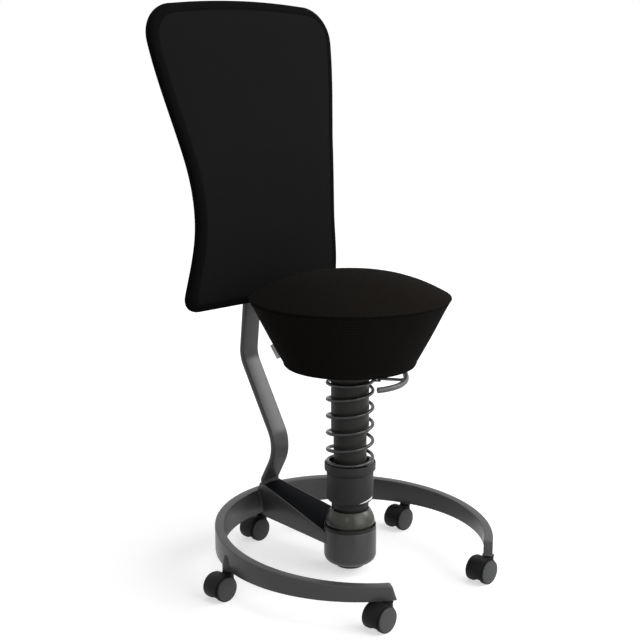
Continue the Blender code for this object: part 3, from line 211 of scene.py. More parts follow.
class Shader:
    """A material's or a world's nodes, built one by one towards its surface."""

    def __init__(self, owner: bpy.types.Material | bpy.types.World,
                 surface: str = "Principled BSDF") -> None:
        """Start on a new material or world, whose own surface node has that name.

        Args:
            owner: The material or world.
            surface: The name of its own surface node.
        """
        owner.use_nodes = True
        self.owner = owner
        self.tree = owner.node_tree
        self.surface = self.tree.nodes[surface]

    def node(self, kind: str, settings: Mapping[str, object] | None = None,
             sockets: Mapping[str | int, Term] | None = None) -> bpy.types.Node:
        """Add a node.

        Args:
            kind: The node's type.
            settings: Its properties, which are set first.
            sockets: A value or a link for each named or numbered input.

        Returns:
            The new node.
        """
        made = self.tree.nodes.new(kind)
        for key, setting in (settings or {}).items():
            setattr(made, key, setting)
        for key, term in (sockets or {}).items():
            self.fill(made.inputs[key], term)
        return made

    def fill(self, target: bpy.types.NodeSocket, term: Term) -> None:
        """Set an input to a value, or link one to it.

        Args:
            target: The input.
            term: A number, a colour or another node's output.
        """
        if isinstance(term, Value):
            self.tree.links.new(term.socket, target)
        else:
            target.default_value = term

    def out(self, made: bpy.types.Node, name: str | int = 0) -> Value:
        """Wrap one output of a node."""
        return Value(self, made.outputs[name])

    def set(self, **sockets: Term) -> None:
        """Set or link inputs of the surface, named with underscores for spaces."""
        for key, term in sockets.items():
            self.fill(self.surface.inputs[key.replace("_", " ")], term)

    def place(self) -> Value:
        """Give the point on the piece, in metres."""
        return self.out(self.node("ShaderNodeTexCoord"), "Object")

    def cloth_place(self) -> Value:
        """Give the point on the cut cloth, in metres."""
        return self.out(self.node("ShaderNodeUVMap", {"uv_map": "weave"}), 0)

    def stretched(self, where: Value, factors: tuple[float, float, float]) -> Value:
        """Multiply a place by a factor on each axis."""
        made = self.node("ShaderNodeVectorMath", {"operation": "MULTIPLY"}, {0: where, 1: factors})
        return self.out(made)

    def parts(self, where: Value) -> tuple[Value, Value, Value]:
        """Split a place into its three values."""
        split = self.node("ShaderNodeSeparateXYZ", None, {0: where})
        return self.out(split, 0), self.out(split, 1), self.out(split, 2)

    def cloud(self, where: Value, scale: float, detail: float = 3.0, rough: float = 0.55) -> Value:
        """Give smooth noise from 0 to 1, with a scale in lumps to the metre."""
        sockets = {"Vector": where, "Scale": scale, "Detail": detail, "Roughness": rough}
        return self.out(self.node("ShaderNodeTexNoise", None, sockets), "Fac")

    def cells(self, where: Value, scale: float) -> Value:
        """Give the distance to the nearest of many scattered points."""
        made = self.node("ShaderNodeTexVoronoi", {"feature": "F1"}, {"Vector": where, "Scale": scale})
        return self.out(made, "Distance")

    def span(self, value: Value, low: float, high: float, to_low: float = 0.0,
             to_high: float = 1.0) -> Value:
        """Move a span of values to another, eased and held at both ends."""
        sockets = {0: value, 1: low, 2: high, 3: to_low, 4: to_high}
        return self.out(self.node("ShaderNodeMapRange", {"interpolation_type": "SMOOTHSTEP"}, sockets))

    def mix(self, share: Term, first: Term, second: Term) -> Value:
        """Mix two colours by a share."""
        made = self.node("ShaderNodeMix", {"data_type": "RGBA"}, {0: share, 6: first, 7: second})
        return self.out(made, 2)

    def shown(self) -> Value:
        """Give 1 to rays that show the studio, straight or mirrored, and 0 to those that light it.

        Returns:
            The mask.
        """
        path = self.node("ShaderNodeLightPath")
        mirrored = self.out(path, "Is Glossy Ray").larger(self.out(path, "Is Transmission Ray"))
        return self.out(path, "Is Camera Ray").larger(mirrored)

    def edge(self) -> Value:
        """Give a mask of the piece's worn outer edges."""
        return self.span(self.out(self.node("ShaderNodeNewGeometry"), "Pointiness"), 0.52, 0.62)

    def bump(self, height: Value, depth: float, strength: float = 1.0) -> None:
        """Raise the surface by a relief, where 1 stands as high as the depth in metres."""
        sockets = {"Height": height, "Distance": depth, "Strength": strength}
        self.set(Normal=self.out(self.node("ShaderNodeBump", None, sockets)))


@dataclass(frozen=True)
class Finish:
    """A named finish with the record's slot that it belongs to and one main colour."""

    name: str
    slot: Slot
    colour: Colour

    def material(self) -> bpy.types.Material:
        """Build the finish.

        Returns:
            The material.
        """
        shader = Shader(bpy.data.materials.new(self.name))
        self.paint(shader)
        return shader.owner

    def paint(self, shader: Shader) -> None:
        """Lay the finish's own nodes."""
        raise NotImplementedError(self.name)

    def tint(self, factor: float, lift: float = 0.0) -> Colour:
        """Give the main colour, opaque, with each part multiplied by a factor and then lifted."""
        red, green, blue, _ = self.colour
        return (red * factor + lift, green * factor + lift, blue * factor + lift, 1.0)


@dataclass(frozen=True)
class PowderCoat(Finish):
    """Sprayed and baked coat on steel: a fine orange peel with rubbed edges."""

    rubbed: Colour
    roughness: float
    peel: float
    gloss: float

    def paint(self, shader: Shader) -> None:
        """Lay a drifting tone, specks, rubbed edges and the peel.

        Args:
            shader: The finish's nodes.
        """
        where = shader.place()
        drift = shader.cloud(where, 9.0)
        speck = shader.cloud(where, 900.0, 2.0)
        worn = shader.edge() * shader.span(shader.cloud(where, 60.0), 0.35, 0.75)
        tone = shader.mix(drift * 0.7 + speck * 0.3, self.tint(0.82), self.tint(1.22))
        shader.set(Base_Color=shader.mix(worn * 0.55, tone, self.rubbed),
                   Roughness=self.roughness - 0.06 + drift * 0.07 + speck * 0.06,
                   Specular_IOR_Level=self.gloss)
        shader.bump(shader.cloud(where, 420.0, 2.0) * 0.7 + speck * 0.3, self.peel, 0.45)


@dataclass(frozen=True)
class MouldedPlastic(Finish):
    """Injection-moulded plastic with a fine eroded grain."""

    roughness: float
    grain: float
    grain_scale: float
    gloss: float

    def paint(self, shader: Shader) -> None:
        """Lay a drifting tone, chalky scuffs on the edges and the grain.

        Args:
            shader: The finish's nodes.
        """
        where = shader.place()
        drift = shader.cloud(where, 16.0)
        grain = shader.cells(where, self.grain_scale)
        scuffed = shader.edge() * shader.span(shader.cloud(where, 85.0), 0.4, 0.8)
        tone = shader.mix(drift, self.colour, self.tint(1.3, 0.002))
        shader.set(Base_Color=shader.mix(scuffed * 0.35, tone, self.tint(2.0, 0.01)),
                   Roughness=self.roughness - 0.05 + drift * 0.06 + grain * 0.08,
                   Specular_IOR_Level=self.gloss)
        shader.bump(grain, self.grain, 0.5)


@dataclass(frozen=True)
class Rubber(Finish):
    """Dark moulded rubber with a dusty bloom."""

    bloom: Colour
    roughness: float

    def paint(self, shader: Shader) -> None:
        """Lay the bloom in patches over a fine grain.

        Args:
            shader: The finish's nodes.
        """
        where = shader.place()
        dust = shader.span(shader.cloud(where, 28.0, 5.0, 0.65), 0.4, 0.75)
        grain = shader.cloud(where, 1100.0, 2.0)
        shader.set(Base_Color=shader.mix(dust * 0.5, self.colour, self.bloom),
                   Roughness=self.roughness + dust * 0.1 + grain * 0.05, Specular_IOR_Level=0.35)
        shader.bump(grain, 0.00005, 0.5)


@dataclass(frozen=True)
class DrawnSteel(Finish):
    """Drawn or turned steel with fine streaks along one axis."""

    roughness: float
    metallic: float
    streaks: tuple[float, float, float]

    def paint(self, shader: Shader) -> None:
        """Lay the streaks over a drifting tone.

        Args:
            shader: The finish's nodes.
        """
        where = shader.place()
        streak = shader.cloud(shader.stretched(where, self.streaks), 1.0, 4.0, 0.6)
        drift = shader.cloud(where, 25.0)
        tone = shader.mix(streak * 0.6 + drift * 0.4, self.tint(0.75), self.tint(1.25))
        shader.set(Base_Color=tone, Roughness=self.roughness - 0.06 + streak * 0.12,
                   Metallic=self.metallic)
        shader.bump(streak, 0.00003, 0.4)


@dataclass(frozen=True)
class TwillCloth(Finish):
    """Hard-wearing upholstery cloth: a fine twill with slub, lint and worn tops of its threads."""

    thread: Colour
    pitch: float
    relief: float
    lint: Colour = shade(92, 90, 88)

    def paint(self, shader: Shader) -> None:
        """Weave the ribs and strands, then lay slub, wear and lint over them.

        Args:
            shader: The finish's nodes.
        """
        where = shader.cloth_place()
        along, across, _ = shader.parts(where)
        wobble = (shader.cloud(where, 160.0, 2.0) - 0.5) * 5.0
        turn = 2 * math.pi / self.pitch
        rib = ((along + across) * turn + wobble).sine() * 0.5 + 0.5
        strand = ((along - across) * (turn * 2.0) + wobble).sine() * 0.5 + 0.5
        weave = rib * (strand * 0.35 + 0.65)
        slub = shader.cloud(shader.stretched(where, (40.0, 520.0, 1.0)), 1.0, 3.0)
        cast = shader.cloud(where, 11.0, 3.0)
        lint = shader.span(shader.cloud(where, 330.0, 4.0, 0.7), 0.66, 0.86)
        tone = shader.mix(weave * 0.7 + slub * 0.3, self.tint(0.30), self.thread)
        worn = shader.mix(cast * 0.55, tone, self.colour)
        shader.set(Base_Color=shader.mix(lint * 0.06, worn, self.lint),
                   Roughness=0.97 - weave * 0.10, Specular_IOR_Level=0.012)
        shader.bump(weave * 0.8 + slub * 0.2, self.relief, 0.55)


@dataclass(frozen=True)
class StainedPly(Finish):
    """Plywood stained black, with its grain showing through."""

    grain: Colour

    def paint(self, shader: Shader) -> None:
        """Lay the wood's figure and pores along X.

        Args:
            shader: The finish's nodes.
        """
        where = shader.place()
        figure = shader.cloud(shader.stretched(where, (12.0, 170.0, 170.0)), 1.0, 5.0, 0.6)
        pores = shader.cloud(shader.stretched(where, (60.0, 900.0, 900.0)), 1.0, 2.0)
        shader.set(Base_Color=shader.mix(shader.span(figure, 0.3, 0.7), self.colour, self.grain),
                   Roughness=0.62 + pores * 0.2)
        shader.bump(figure * 0.5 + pores * 0.5, 0.00012, 0.5)


@dataclass(frozen=True)
class CastorWheel(Finish):
    """A moulded wheel: a grey disc inside a dark rolling tread, scuffed by the floor."""

    tread: Colour
    disc_radius: float
    disc_blur: float = 0.0004
    dust: Colour = shade(44, 43, 42)

    def paint(self, shader: Shader) -> None:
        """Lay the turned disc and the dusty tread; the wheel's own Z is its axle.

        Args:
            shader: The finish's nodes.
        """
        where = shader.place()
        along, across, _ = shader.parts(where)
        radius = (along * along + across * across) ** 0.5
        outside = shader.span(radius, self.disc_radius - self.disc_blur, self.disc_radius + self.disc_blur)
        scuff = shader.span(shader.cloud(where, 180.0, 5.0, 0.65), 0.45, 0.75)
        grain = shader.cells(where, 1500.0)
        turned = (radius * 5200.0).sine() * 0.5 + 0.5
        disc = shader.mix(scuff * 0.5 + turned * 0.2, self.colour, self.tint(1.25))
        dusty = shader.mix(scuff * 0.25, self.tread, self.dust)
        shader.set(Base_Color=shader.mix(outside, disc, dusty),
                   Roughness=0.38 + outside * 0.14 + scuff * 0.10, Specular_IOR_Level=0.16)
        shader.bump(grain * 0.6 + scuff * 0.4, 0.00005, 0.5)


@dataclass(frozen=True)
class PrintedInk(Finish):
    """Pad-printed ink with small gaps where it has rubbed off."""

    ground: Colour

    def paint(self, shader: Shader) -> None:
        """Lay the ink, mottled and rubbed through to its ground.

        Args:
            shader: The finish's nodes.
        """
        where = shader.place()
        rubbed = shader.span(shader.cloud(where, 700.0, 4.0, 0.7), 0.60, 0.78)
        mottle = shader.cloud(where, 300.0, 2.0)
        paler = shader.mix(mottle * 0.2, self.colour, WHITE)
        shader.set(Base_Color=shader.mix(rubbed * 0.6, paler, self.ground), Roughness=0.42 + mottle * 0.12)
        shader.bump(mottle, 0.00002, 0.3)


@dataclass(frozen=True)
class TapeWeave(Finish):
    """Plain-woven ribbon for a blank sewn-in tab."""

    pitch: float

    def paint(self, shader: Shader) -> None:
        """Weave the ribbon and soil it a little.

        Args:
            shader: The finish's nodes.
        """
        where = shader.cloth_place()
        along, across, _ = shader.parts(where)
        turn = 2 * math.pi / self.pitch
        weave = ((along * turn).sine() * 0.5 + 0.5).larger((across * turn).sine() * 0.5 + 0.5)
        soil = shader.cloud(where, 120.0)
        shader.set(Base_Color=shader.mix(weave * 0.5 + soil * 0.5, self.tint(0.72), self.colour),
                   Roughness=0.85 + soil * 0.1, Specular_IOR_Level=0.2)
        shader.bump(weave, 0.00008, 0.5)


class Sketch:
    """A mesh that grows by lathes, lofts and sweeps."""

    def __init__(self) -> None:
        """Start empty, with a layer for the cloth's flat coordinates."""
        self.work = bmesh.new()
        self.flat = self.work.loops.layers.uv.new("weave")

    def lathe(self, profile: Sequence[Pair], steps: int, closed: bool = False,
              angles: Sequence[float] | None = None, placing: Matrix | None = None) -> None:
        """Turn a profile about Z.

        Args:
            profile: Points of radius and height; a radius of 0 is on the axis.
            steps: Columns round the axis.
            closed: Whether the profile's last point joins its first.
            angles: Columns' own angles in place of even steps.
            placing: Where the turned shape goes.
        """
        columns = list(angles) if angles else [2 * math.pi * step / steps for step in range(steps)]
        placing = placing or Matrix.Identity(4)
        rings = []
        for radius, height in profile:
            if radius < 1e-7:
                rings.append([self.work.verts.new(placing @ Vector((0.0, 0.0, height)))])
            else:
                rings.append([self.work.verts.new(placing @ polar(radius, angle, height))
                              for angle in columns])
        pairs = list(zip(rings, rings[1:]))
        if closed:
            pairs.append((rings[-1], rings[0]))
        for one, two in pairs:
            for index in range(len(columns)):
                after = (index + 1) % len(columns)
                corners = [one[index % len(one)], one[after % len(one)], two[after % len(two)],
                           two[index % len(two)]]
                unique = list(dict.fromkeys(corners))
                if len(unique) > 2:
                    self.work.faces.new(unique)

    def loft(self, loops: Sequence[Sequence[Vector]], caps: bool = True) -> list[list[bmesh.types.BMVert]]:
        """Skin a row of closed loops that have as many points each.

        Args:
            loops: The loops in order.
            caps: Whether the ends are filled.

        Returns:
            The loops' points in the mesh.
        """
        rows = [[self.work.verts.new(point) for point in loop] for loop in loops]
        for one, two in zip(rows, rows[1:]):
            for index in range(len(one)):
                after = (index + 1) % len(one)
                self.work.faces.new((one[index], one[after], two[after], two[index]))
        if caps:
            self.work.faces.new(rows[0])
            self.work.faces.new(rows[-1])
        return rows

    def zip_up(self, one: Sequence[bmesh.types.BMVert], two: Sequence[bmesh.types.BMVert]) -> None:
        """Fill the strip between two lines of points that both run towards +X.

        Args:
            one: The first line.
            two: The second line.
        """
        first = second = 0
        while first < len(one) - 1 or second < len(two) - 1:
            spent = second == len(two) - 1
            if spent or (first < len(one) - 1 and one[first + 1].co.x <= two[second + 1].co.x):
                self.work.faces.new((one[first], one[first + 1], two[second]))
                first += 1
            else:
                self.work.faces.new((one[first], two[second + 1], two[second]))
                second += 1

    def sweep(self, path: Sequence[Vector], radius: float, sides: int, round_by: float = 0.0) -> None:
        """Run a round bar along a path.

        Args:
            path: The bar's centre line.
            radius: The bar's radius.
            sides: Points round the bar.
            round_by: How far the ends' edges are rounded.
        """
        ahead = [(after - before).normalized() for before, after in
                 zip([path[0], *path[:-1]], [*path[1:], path[-1]])]
        side = ahead[0].orthogonal().normalized()
        loops = []
        for point, way in zip(path, ahead):
            side = (side - way * side.dot(way)).normalized()
            other = way.cross(side)
            loops.append([point + (side * math.cos(a) + other * math.sin(a)) * radius
                          for a in (2 * math.pi * step / sides for step in range(sides))])
        if round_by > 0.0:
            loops[:1] = self._rounded_end(path[0], ahead[0], loops[0], radius, round_by)
            loops[-1:] = self._rounded_end(path[-1], -ahead[-1], loops[-1], radius, round_by)[::-1]
        self.loft(loops)

    @staticmethod
    def _rounded_end(point: Vector, inwards: Vector, loop: Sequence[Vector], radius: float,
                     round_by: float) -> list[list[Vector]]:
        """Give the loops of a bar's rounded end.

        Args:
            point: The end's middle.
            inwards: The way along the bar from that end.
            loop: The bar's full loop there.
            radius: The bar's radius.
            round_by: How far the edge is rounded.

        Returns:
            Loops from the end's face inwards.
        """
        ends = []
        for angle in (0.0, 30.0, 60.0, 90.0):
            turn = math.radians(angle)
            share = (radius - round_by + round_by * math.sin(turn)) / radius
            inset = inwards * (round_by * (1 - math.cos(turn)))
            ends.append([point + (corner - point) * share + inset for corner in loop])
        return ends

    def flatten(self, rule: Callable[[Vector, Vector, Vector], Pair]) -> None:
        """Lay the cloth flat for its weave.

        Args:
            rule: Gives flat coordinates from a point, its face's middle and its face's normal.
        """
        self.work.normal_update()
        for face in self.work.faces:
            middle = face.calc_center_median()
            for loop in face.loops:
                loop[self.flat].uv = rule(loop.vert.co, middle, face.normal)

    def mesh(self, name: str, sharp: float = 38.0) -> bpy.types.Mesh:
        """Finish the sketch.

        Args:
            name: The mesh's name.
            sharp: Edges that turn by more than this many degrees stay sharp.

        Returns:
            The mesh, smooth between its sharp edges.
        """
        bmesh.ops.remove_doubles(self.work, verts=self.work.verts, dist=1e-6)
        bmesh.ops.recalc_face_normals(self.work, faces=self.work.faces)
        made = bpy.data.meshes.new(name)
        self.work.to_mesh(made)
        self.work.free()
        made.polygons.foreach_set("use_smooth", [True] * len(made.polygons))
        made.set_sharp_from_angle(angle=math.radians(sharp))
        return made


@dataclass(frozen=True)
class AirFill:
    """A cloth simulation that fills a sewn cover with air pressure and keeps its held seams."""

    pressure: float
    cap: float
    stretch: float = 22.0
    shear: float = 10.0
    bend: float = 2.0
    frames: int = 20

    def settle(self, piece: bpy.types.Object, held: Callable[[Vector], bool]) -> None:
        """Swell a cover and write the result into its mesh.

        Args:
            piece: The cover, at rest in the scene.
            held: Says whether a point is sewn or glued down.
        """
        group = piece.vertex_groups.new(name="held")
        group.add([point.index for point in piece.data.vertices if held(point.co)], 1.0, "REPLACE")
        cloth = piece.modifiers.new("fill", "CLOTH")
        settings = cloth.settings
        settings.quality = 6
        settings.mass = 0.35
        settings.tension_stiffness = settings.compression_stiffness = self.stretch
        settings.shear_stiffness = self.shear
        settings.bending_stiffness = self.bend
        settings.use_pressure = True
        settings.uniform_pressure_force = self.pressure
        settings.effector_weights.gravity = 0.0
        settings.vertex_group_mass = group.name
        cloth.collision_settings.use_collision = False
        cloth.point_cache.frame_start = 1
        cloth.point_cache.frame_end = self.frames
        for step in range(1, self.frames + 1):
            bpy.context.scene.frame_set(step)
        seen = piece.evaluated_get(bpy.context.evaluated_depsgraph_get())
        swollen = [point.co.copy() for point in seen.data.vertices]
        piece.modifiers.remove(cloth)
        piece.vertex_groups.remove(group)
        for point, target in zip(piece.data.vertices, swollen):
            shift = target - point.co
            if shift.length > self.cap:
                shift *= self.cap / shift.length
            point.co += shift
        bpy.context.scene.frame_set(1)


class Workshop:
    """Holds the finishes and sets finished pieces on the frame."""

    def __init__(self) -> None:
        """Mix every finish once."""
        finishes = (
            PowderCoat("coat_graphite", Slot.METAL, shade(57, 57, 58), shade(104, 105, 107), 0.36, 0.00005,
                       0.40),
            PowderCoat("coat_sleeve", Slot.METAL, shade(45, 45, 43), shade(66, 66, 66), 0.40, 0.00004,
                       0.12),
            MouldedPlastic("plastic_knob", Slot.PLASTIC, shade(34, 34, 34), 0.46, 0.00004, 1300.0, 0.20),
            MouldedPlastic("plastic_neck", Slot.PLASTIC, shade(30, 30, 30), 0.50, 0.00004, 1300.0, 0.17),
            MouldedPlastic("plastic_lid", Slot.PLASTIC, shade(10, 11, 14), 0.60, 0.00006, 900.0, 0.02),
            MouldedPlastic("plastic_shell", Slot.PLASTIC, shade(24, 24, 25), 0.55, 0.00007, 800.0, 0.12),
            MouldedPlastic("plastic_castor", Slot.CASTOR, shade(20, 20, 20), 0.42, 0.00004, 1400.0, 0.12),
            Rubber("rubber_dome", Slot.RUBBER, shade(52, 52, 47), shade(66, 65, 59), 0.26),
            DrawnSteel("steel_spring", Slot.STEEL, shade(36, 36, 37), 0.24, 0.12, (90.0, 90.0, 700.0)),
            DrawnSteel("steel_turned", Slot.STEEL, shade(112, 113, 115), 0.26, 0.95, (60.0, 60.0, 2400.0)),
            DrawnSteel("steel_lever", Slot.STEEL, shade(72, 72, 73), 0.42, 0.15, (260.0, 260.0, 900.0)),
            DrawnSteel("steel_black", Slot.STEEL, shade(38, 38, 40), 0.38, 0.7, (300.0, 300.0, 1500.0)),
            StainedPly("ply_black", Slot.BOARD, shade(30, 27, 25), shade(52, 47, 43)),
            TwillCloth("cloth_seat", Slot.FABRIC, shade(22, 20, 18), shade(35, 32, 29), 0.0038, 0.00028),
            TwillCloth("cloth_back", Slot.FABRIC, shade(24, 24, 24), shade(35, 35, 35), 0.0044, 0.00024),
            # Border cloth: a finer weave, with a darker tone that is painted shade on the pad's rolled
            # border and back
            TwillCloth("cloth_band_painted_shade", Slot.FABRIC, shade(17, 17, 17), shade(23, 23, 23), 0.0022, 0.00016),
            CastorWheel("castor_wheel", Slot.CASTOR, shade(68, 69, 69), shade(19, 19, 19), 0.0235),
            PrintedInk("ink_white", Slot.PLASTIC, shade(226, 226, 226), shade(52, 52, 53)),
            TapeWeave("tape_pale", Slot.FABRIC, shade(232, 232, 230), 0.0009),
        )
        self.finishes = {finish.name: finish.material() for finish in finishes}
        self.slots = {finish.name: finish.slot for finish in finishes}
        self.count = 0

    def piece(self, name: str, mesh: bpy.types.Mesh, finish: str, body: str,
              nodes: Sequence[str] = (), place: Matrix | None = None) -> bpy.types.Object:
        """Add a piece and tie it to a body of the frame.

        Args:
            name: The piece's name.
            mesh: Its mesh.
            finish: The name of its finish.
            body: The body it moves with.
            nodes: Solids that it stands for.
            place: Where its mesh's own frame goes.

        Returns:
            The piece.
        """
        made = bpy.data.objects.new(name, mesh)
        bpy.context.scene.collection.objects.link(made)
        if place is not None:
            made.matrix_world = place
        if not mesh.materials:
            mesh.materials.append(self.finishes[finish])
        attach(made, body)
        if nodes:
            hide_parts(*nodes)
        self.count += 1
        LOG.info("%s on %s in %s, %d faces", name, body, finish, len(mesh.polygons))
        return made

    def turn(self, name: str, profile: Sequence[Pair], steps: int, closed: bool, finish: str, body: str,
             node: str) -> None:
        """Turn a piece about the column's axis in place of a solid.

        Args:
            name: The piece's name.
            profile: Its points of radius and height.
            steps: Columns round the axis.
            closed: Whether the profile's last point joins its first.
            finish: The name of its finish.
            body: The body it moves with.
            node: The solid that it stands for.
        """
        sketch = Sketch()
        sketch.lathe(profile, steps, closed)
        self.piece(name, sketch.mesh(name), finish, body, [node])

    def dress(self, finish: str, *nodes: str) -> None:
        """Give solids of the frame a finish in place of their plain one.

        Args:
            finish: The name of the finish.
            nodes: The solids.
        """
        for node in nodes:
            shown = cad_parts[node]
            shown.data.materials.clear()
            shown.data.materials.append(self.finishes[finish])
            LOG.info("%s keeps its solid, in %s", node, finish)


@dataclass
class Assembly:
    """A sub-assembly and the workshop that its pieces are made in."""

    shop: Workshop


@dataclass
class BaseRing(Assembly):
    """The C-shaped bar on edge, which rises and deepens towards the back."""

    mid_radius: float = 0.2735
    width: float = 0.018
    centre_y: float = -0.0115
    half_opening: float = 30.5
    bottoms: Pair = (0.0528, 0.0600)
    tops: Pair = (0.0815, 0.1148)
    end_slant: float = 0.009
    top_round: float = 0.0016
    bottom_round: float = 0.0010
    end_round: float = 0.0014
    boss_radius: float = 0.0112
    boss_tip: float = 0.0084
    boss_drop: float = 0.020
    boss_taper: float = 0.017
    boss_steps: int = 40
    steps: int = 168

    def levels(self, y: float) -> Pair:
        """Give the bar's bottom and top heights at a place along y.

        Args:
            y: The place.

        Returns:
            The two heights.
        """
        front = self.centre_y - self.mid_radius * math.cos(math.radians(self.half_opening))
        share = (y - front) / (self.centre_y + self.mid_radius - front)
        return between(*self.bottoms, share), between(*self.tops, share)

    def section(self, way: float, inset: float) -> list[Vector]:
        """Give the bar's section, leaning at its ends.

        Args:
            way: Where along the bar, from -1 at one end to 1 at the other.
            inset: How far the section is drawn in.

        Returns:
            The section's points.
        """
        sweep = math.pi - math.radians(self.half_opening)
        lean = self.end_slant / (self.mid_radius * sweep)
        half = self.width / 2 - inset
        bottom, top = self.levels(self.centre_y + self.mid_radius * math.cos(sweep * way))
        under, over = bottom + inset, top - inset
        outline = rounded(((-half, under, self.bottom_round), (half, under, self.bottom_round),
                           (half, over, self.top_round), (-half, over, self.top_round)), 4, True)
        points = []
        for across, height in outline:
            share = (height - bottom) / (top - bottom)
            angle = sweep * way * (1 - lean * share)
            radius = self.mid_radius + across
            low, high = self.levels(self.centre_y + radius * math.cos(angle))
            points.append(Vector((radius * math.sin(angle), self.centre_y + radius * math.cos(angle),
                                  height + between(low - bottom, high - top, share))))
        return points

    def build(self, bosses: Sequence[Pair]) -> None:
        """Bend the bar and weld on its castor bosses.

        Args:
            bosses: Where the bosses stand.
        """
        sketch = Sketch()
        tip = self.end_round / (self.mid_radius * (math.pi - math.radians(self.half_opening)))
        ways = [2 * step / self.steps - 1 for step in range(1, self.steps)]
        drawn = self.end_round * 0.7
        loops = [self.section(-1.0, drawn), self.section(tip - 1.0, 0.0)]
        loops += [self.section(way, 0.0) for way in ways]
        loops += [self.section(1.0 - tip, 0.0), self.section(1.0, drawn)]
        sketch.loft(loops)
        for x, y in bosses:
            top = self.levels(y)[1] - self.boss_drop
            profile = rounded(((0.0, top, 0.0), (self.boss_tip, top, 0.003),
                               (self.boss_radius, top - self.boss_taper, 0.016),
                               (self.boss_radius, self.bottoms[0], 0.001), (0.0, self.bottoms[0], 0.0)), 7)
            sketch.lathe(profile, self.boss_steps, placing=Matrix.Translation((x, y, 0.0)))
        self.shop.piece("ring_bar", sketch.mesh("ring_bar"), "coat_graphite", "base", ["base_ring"])


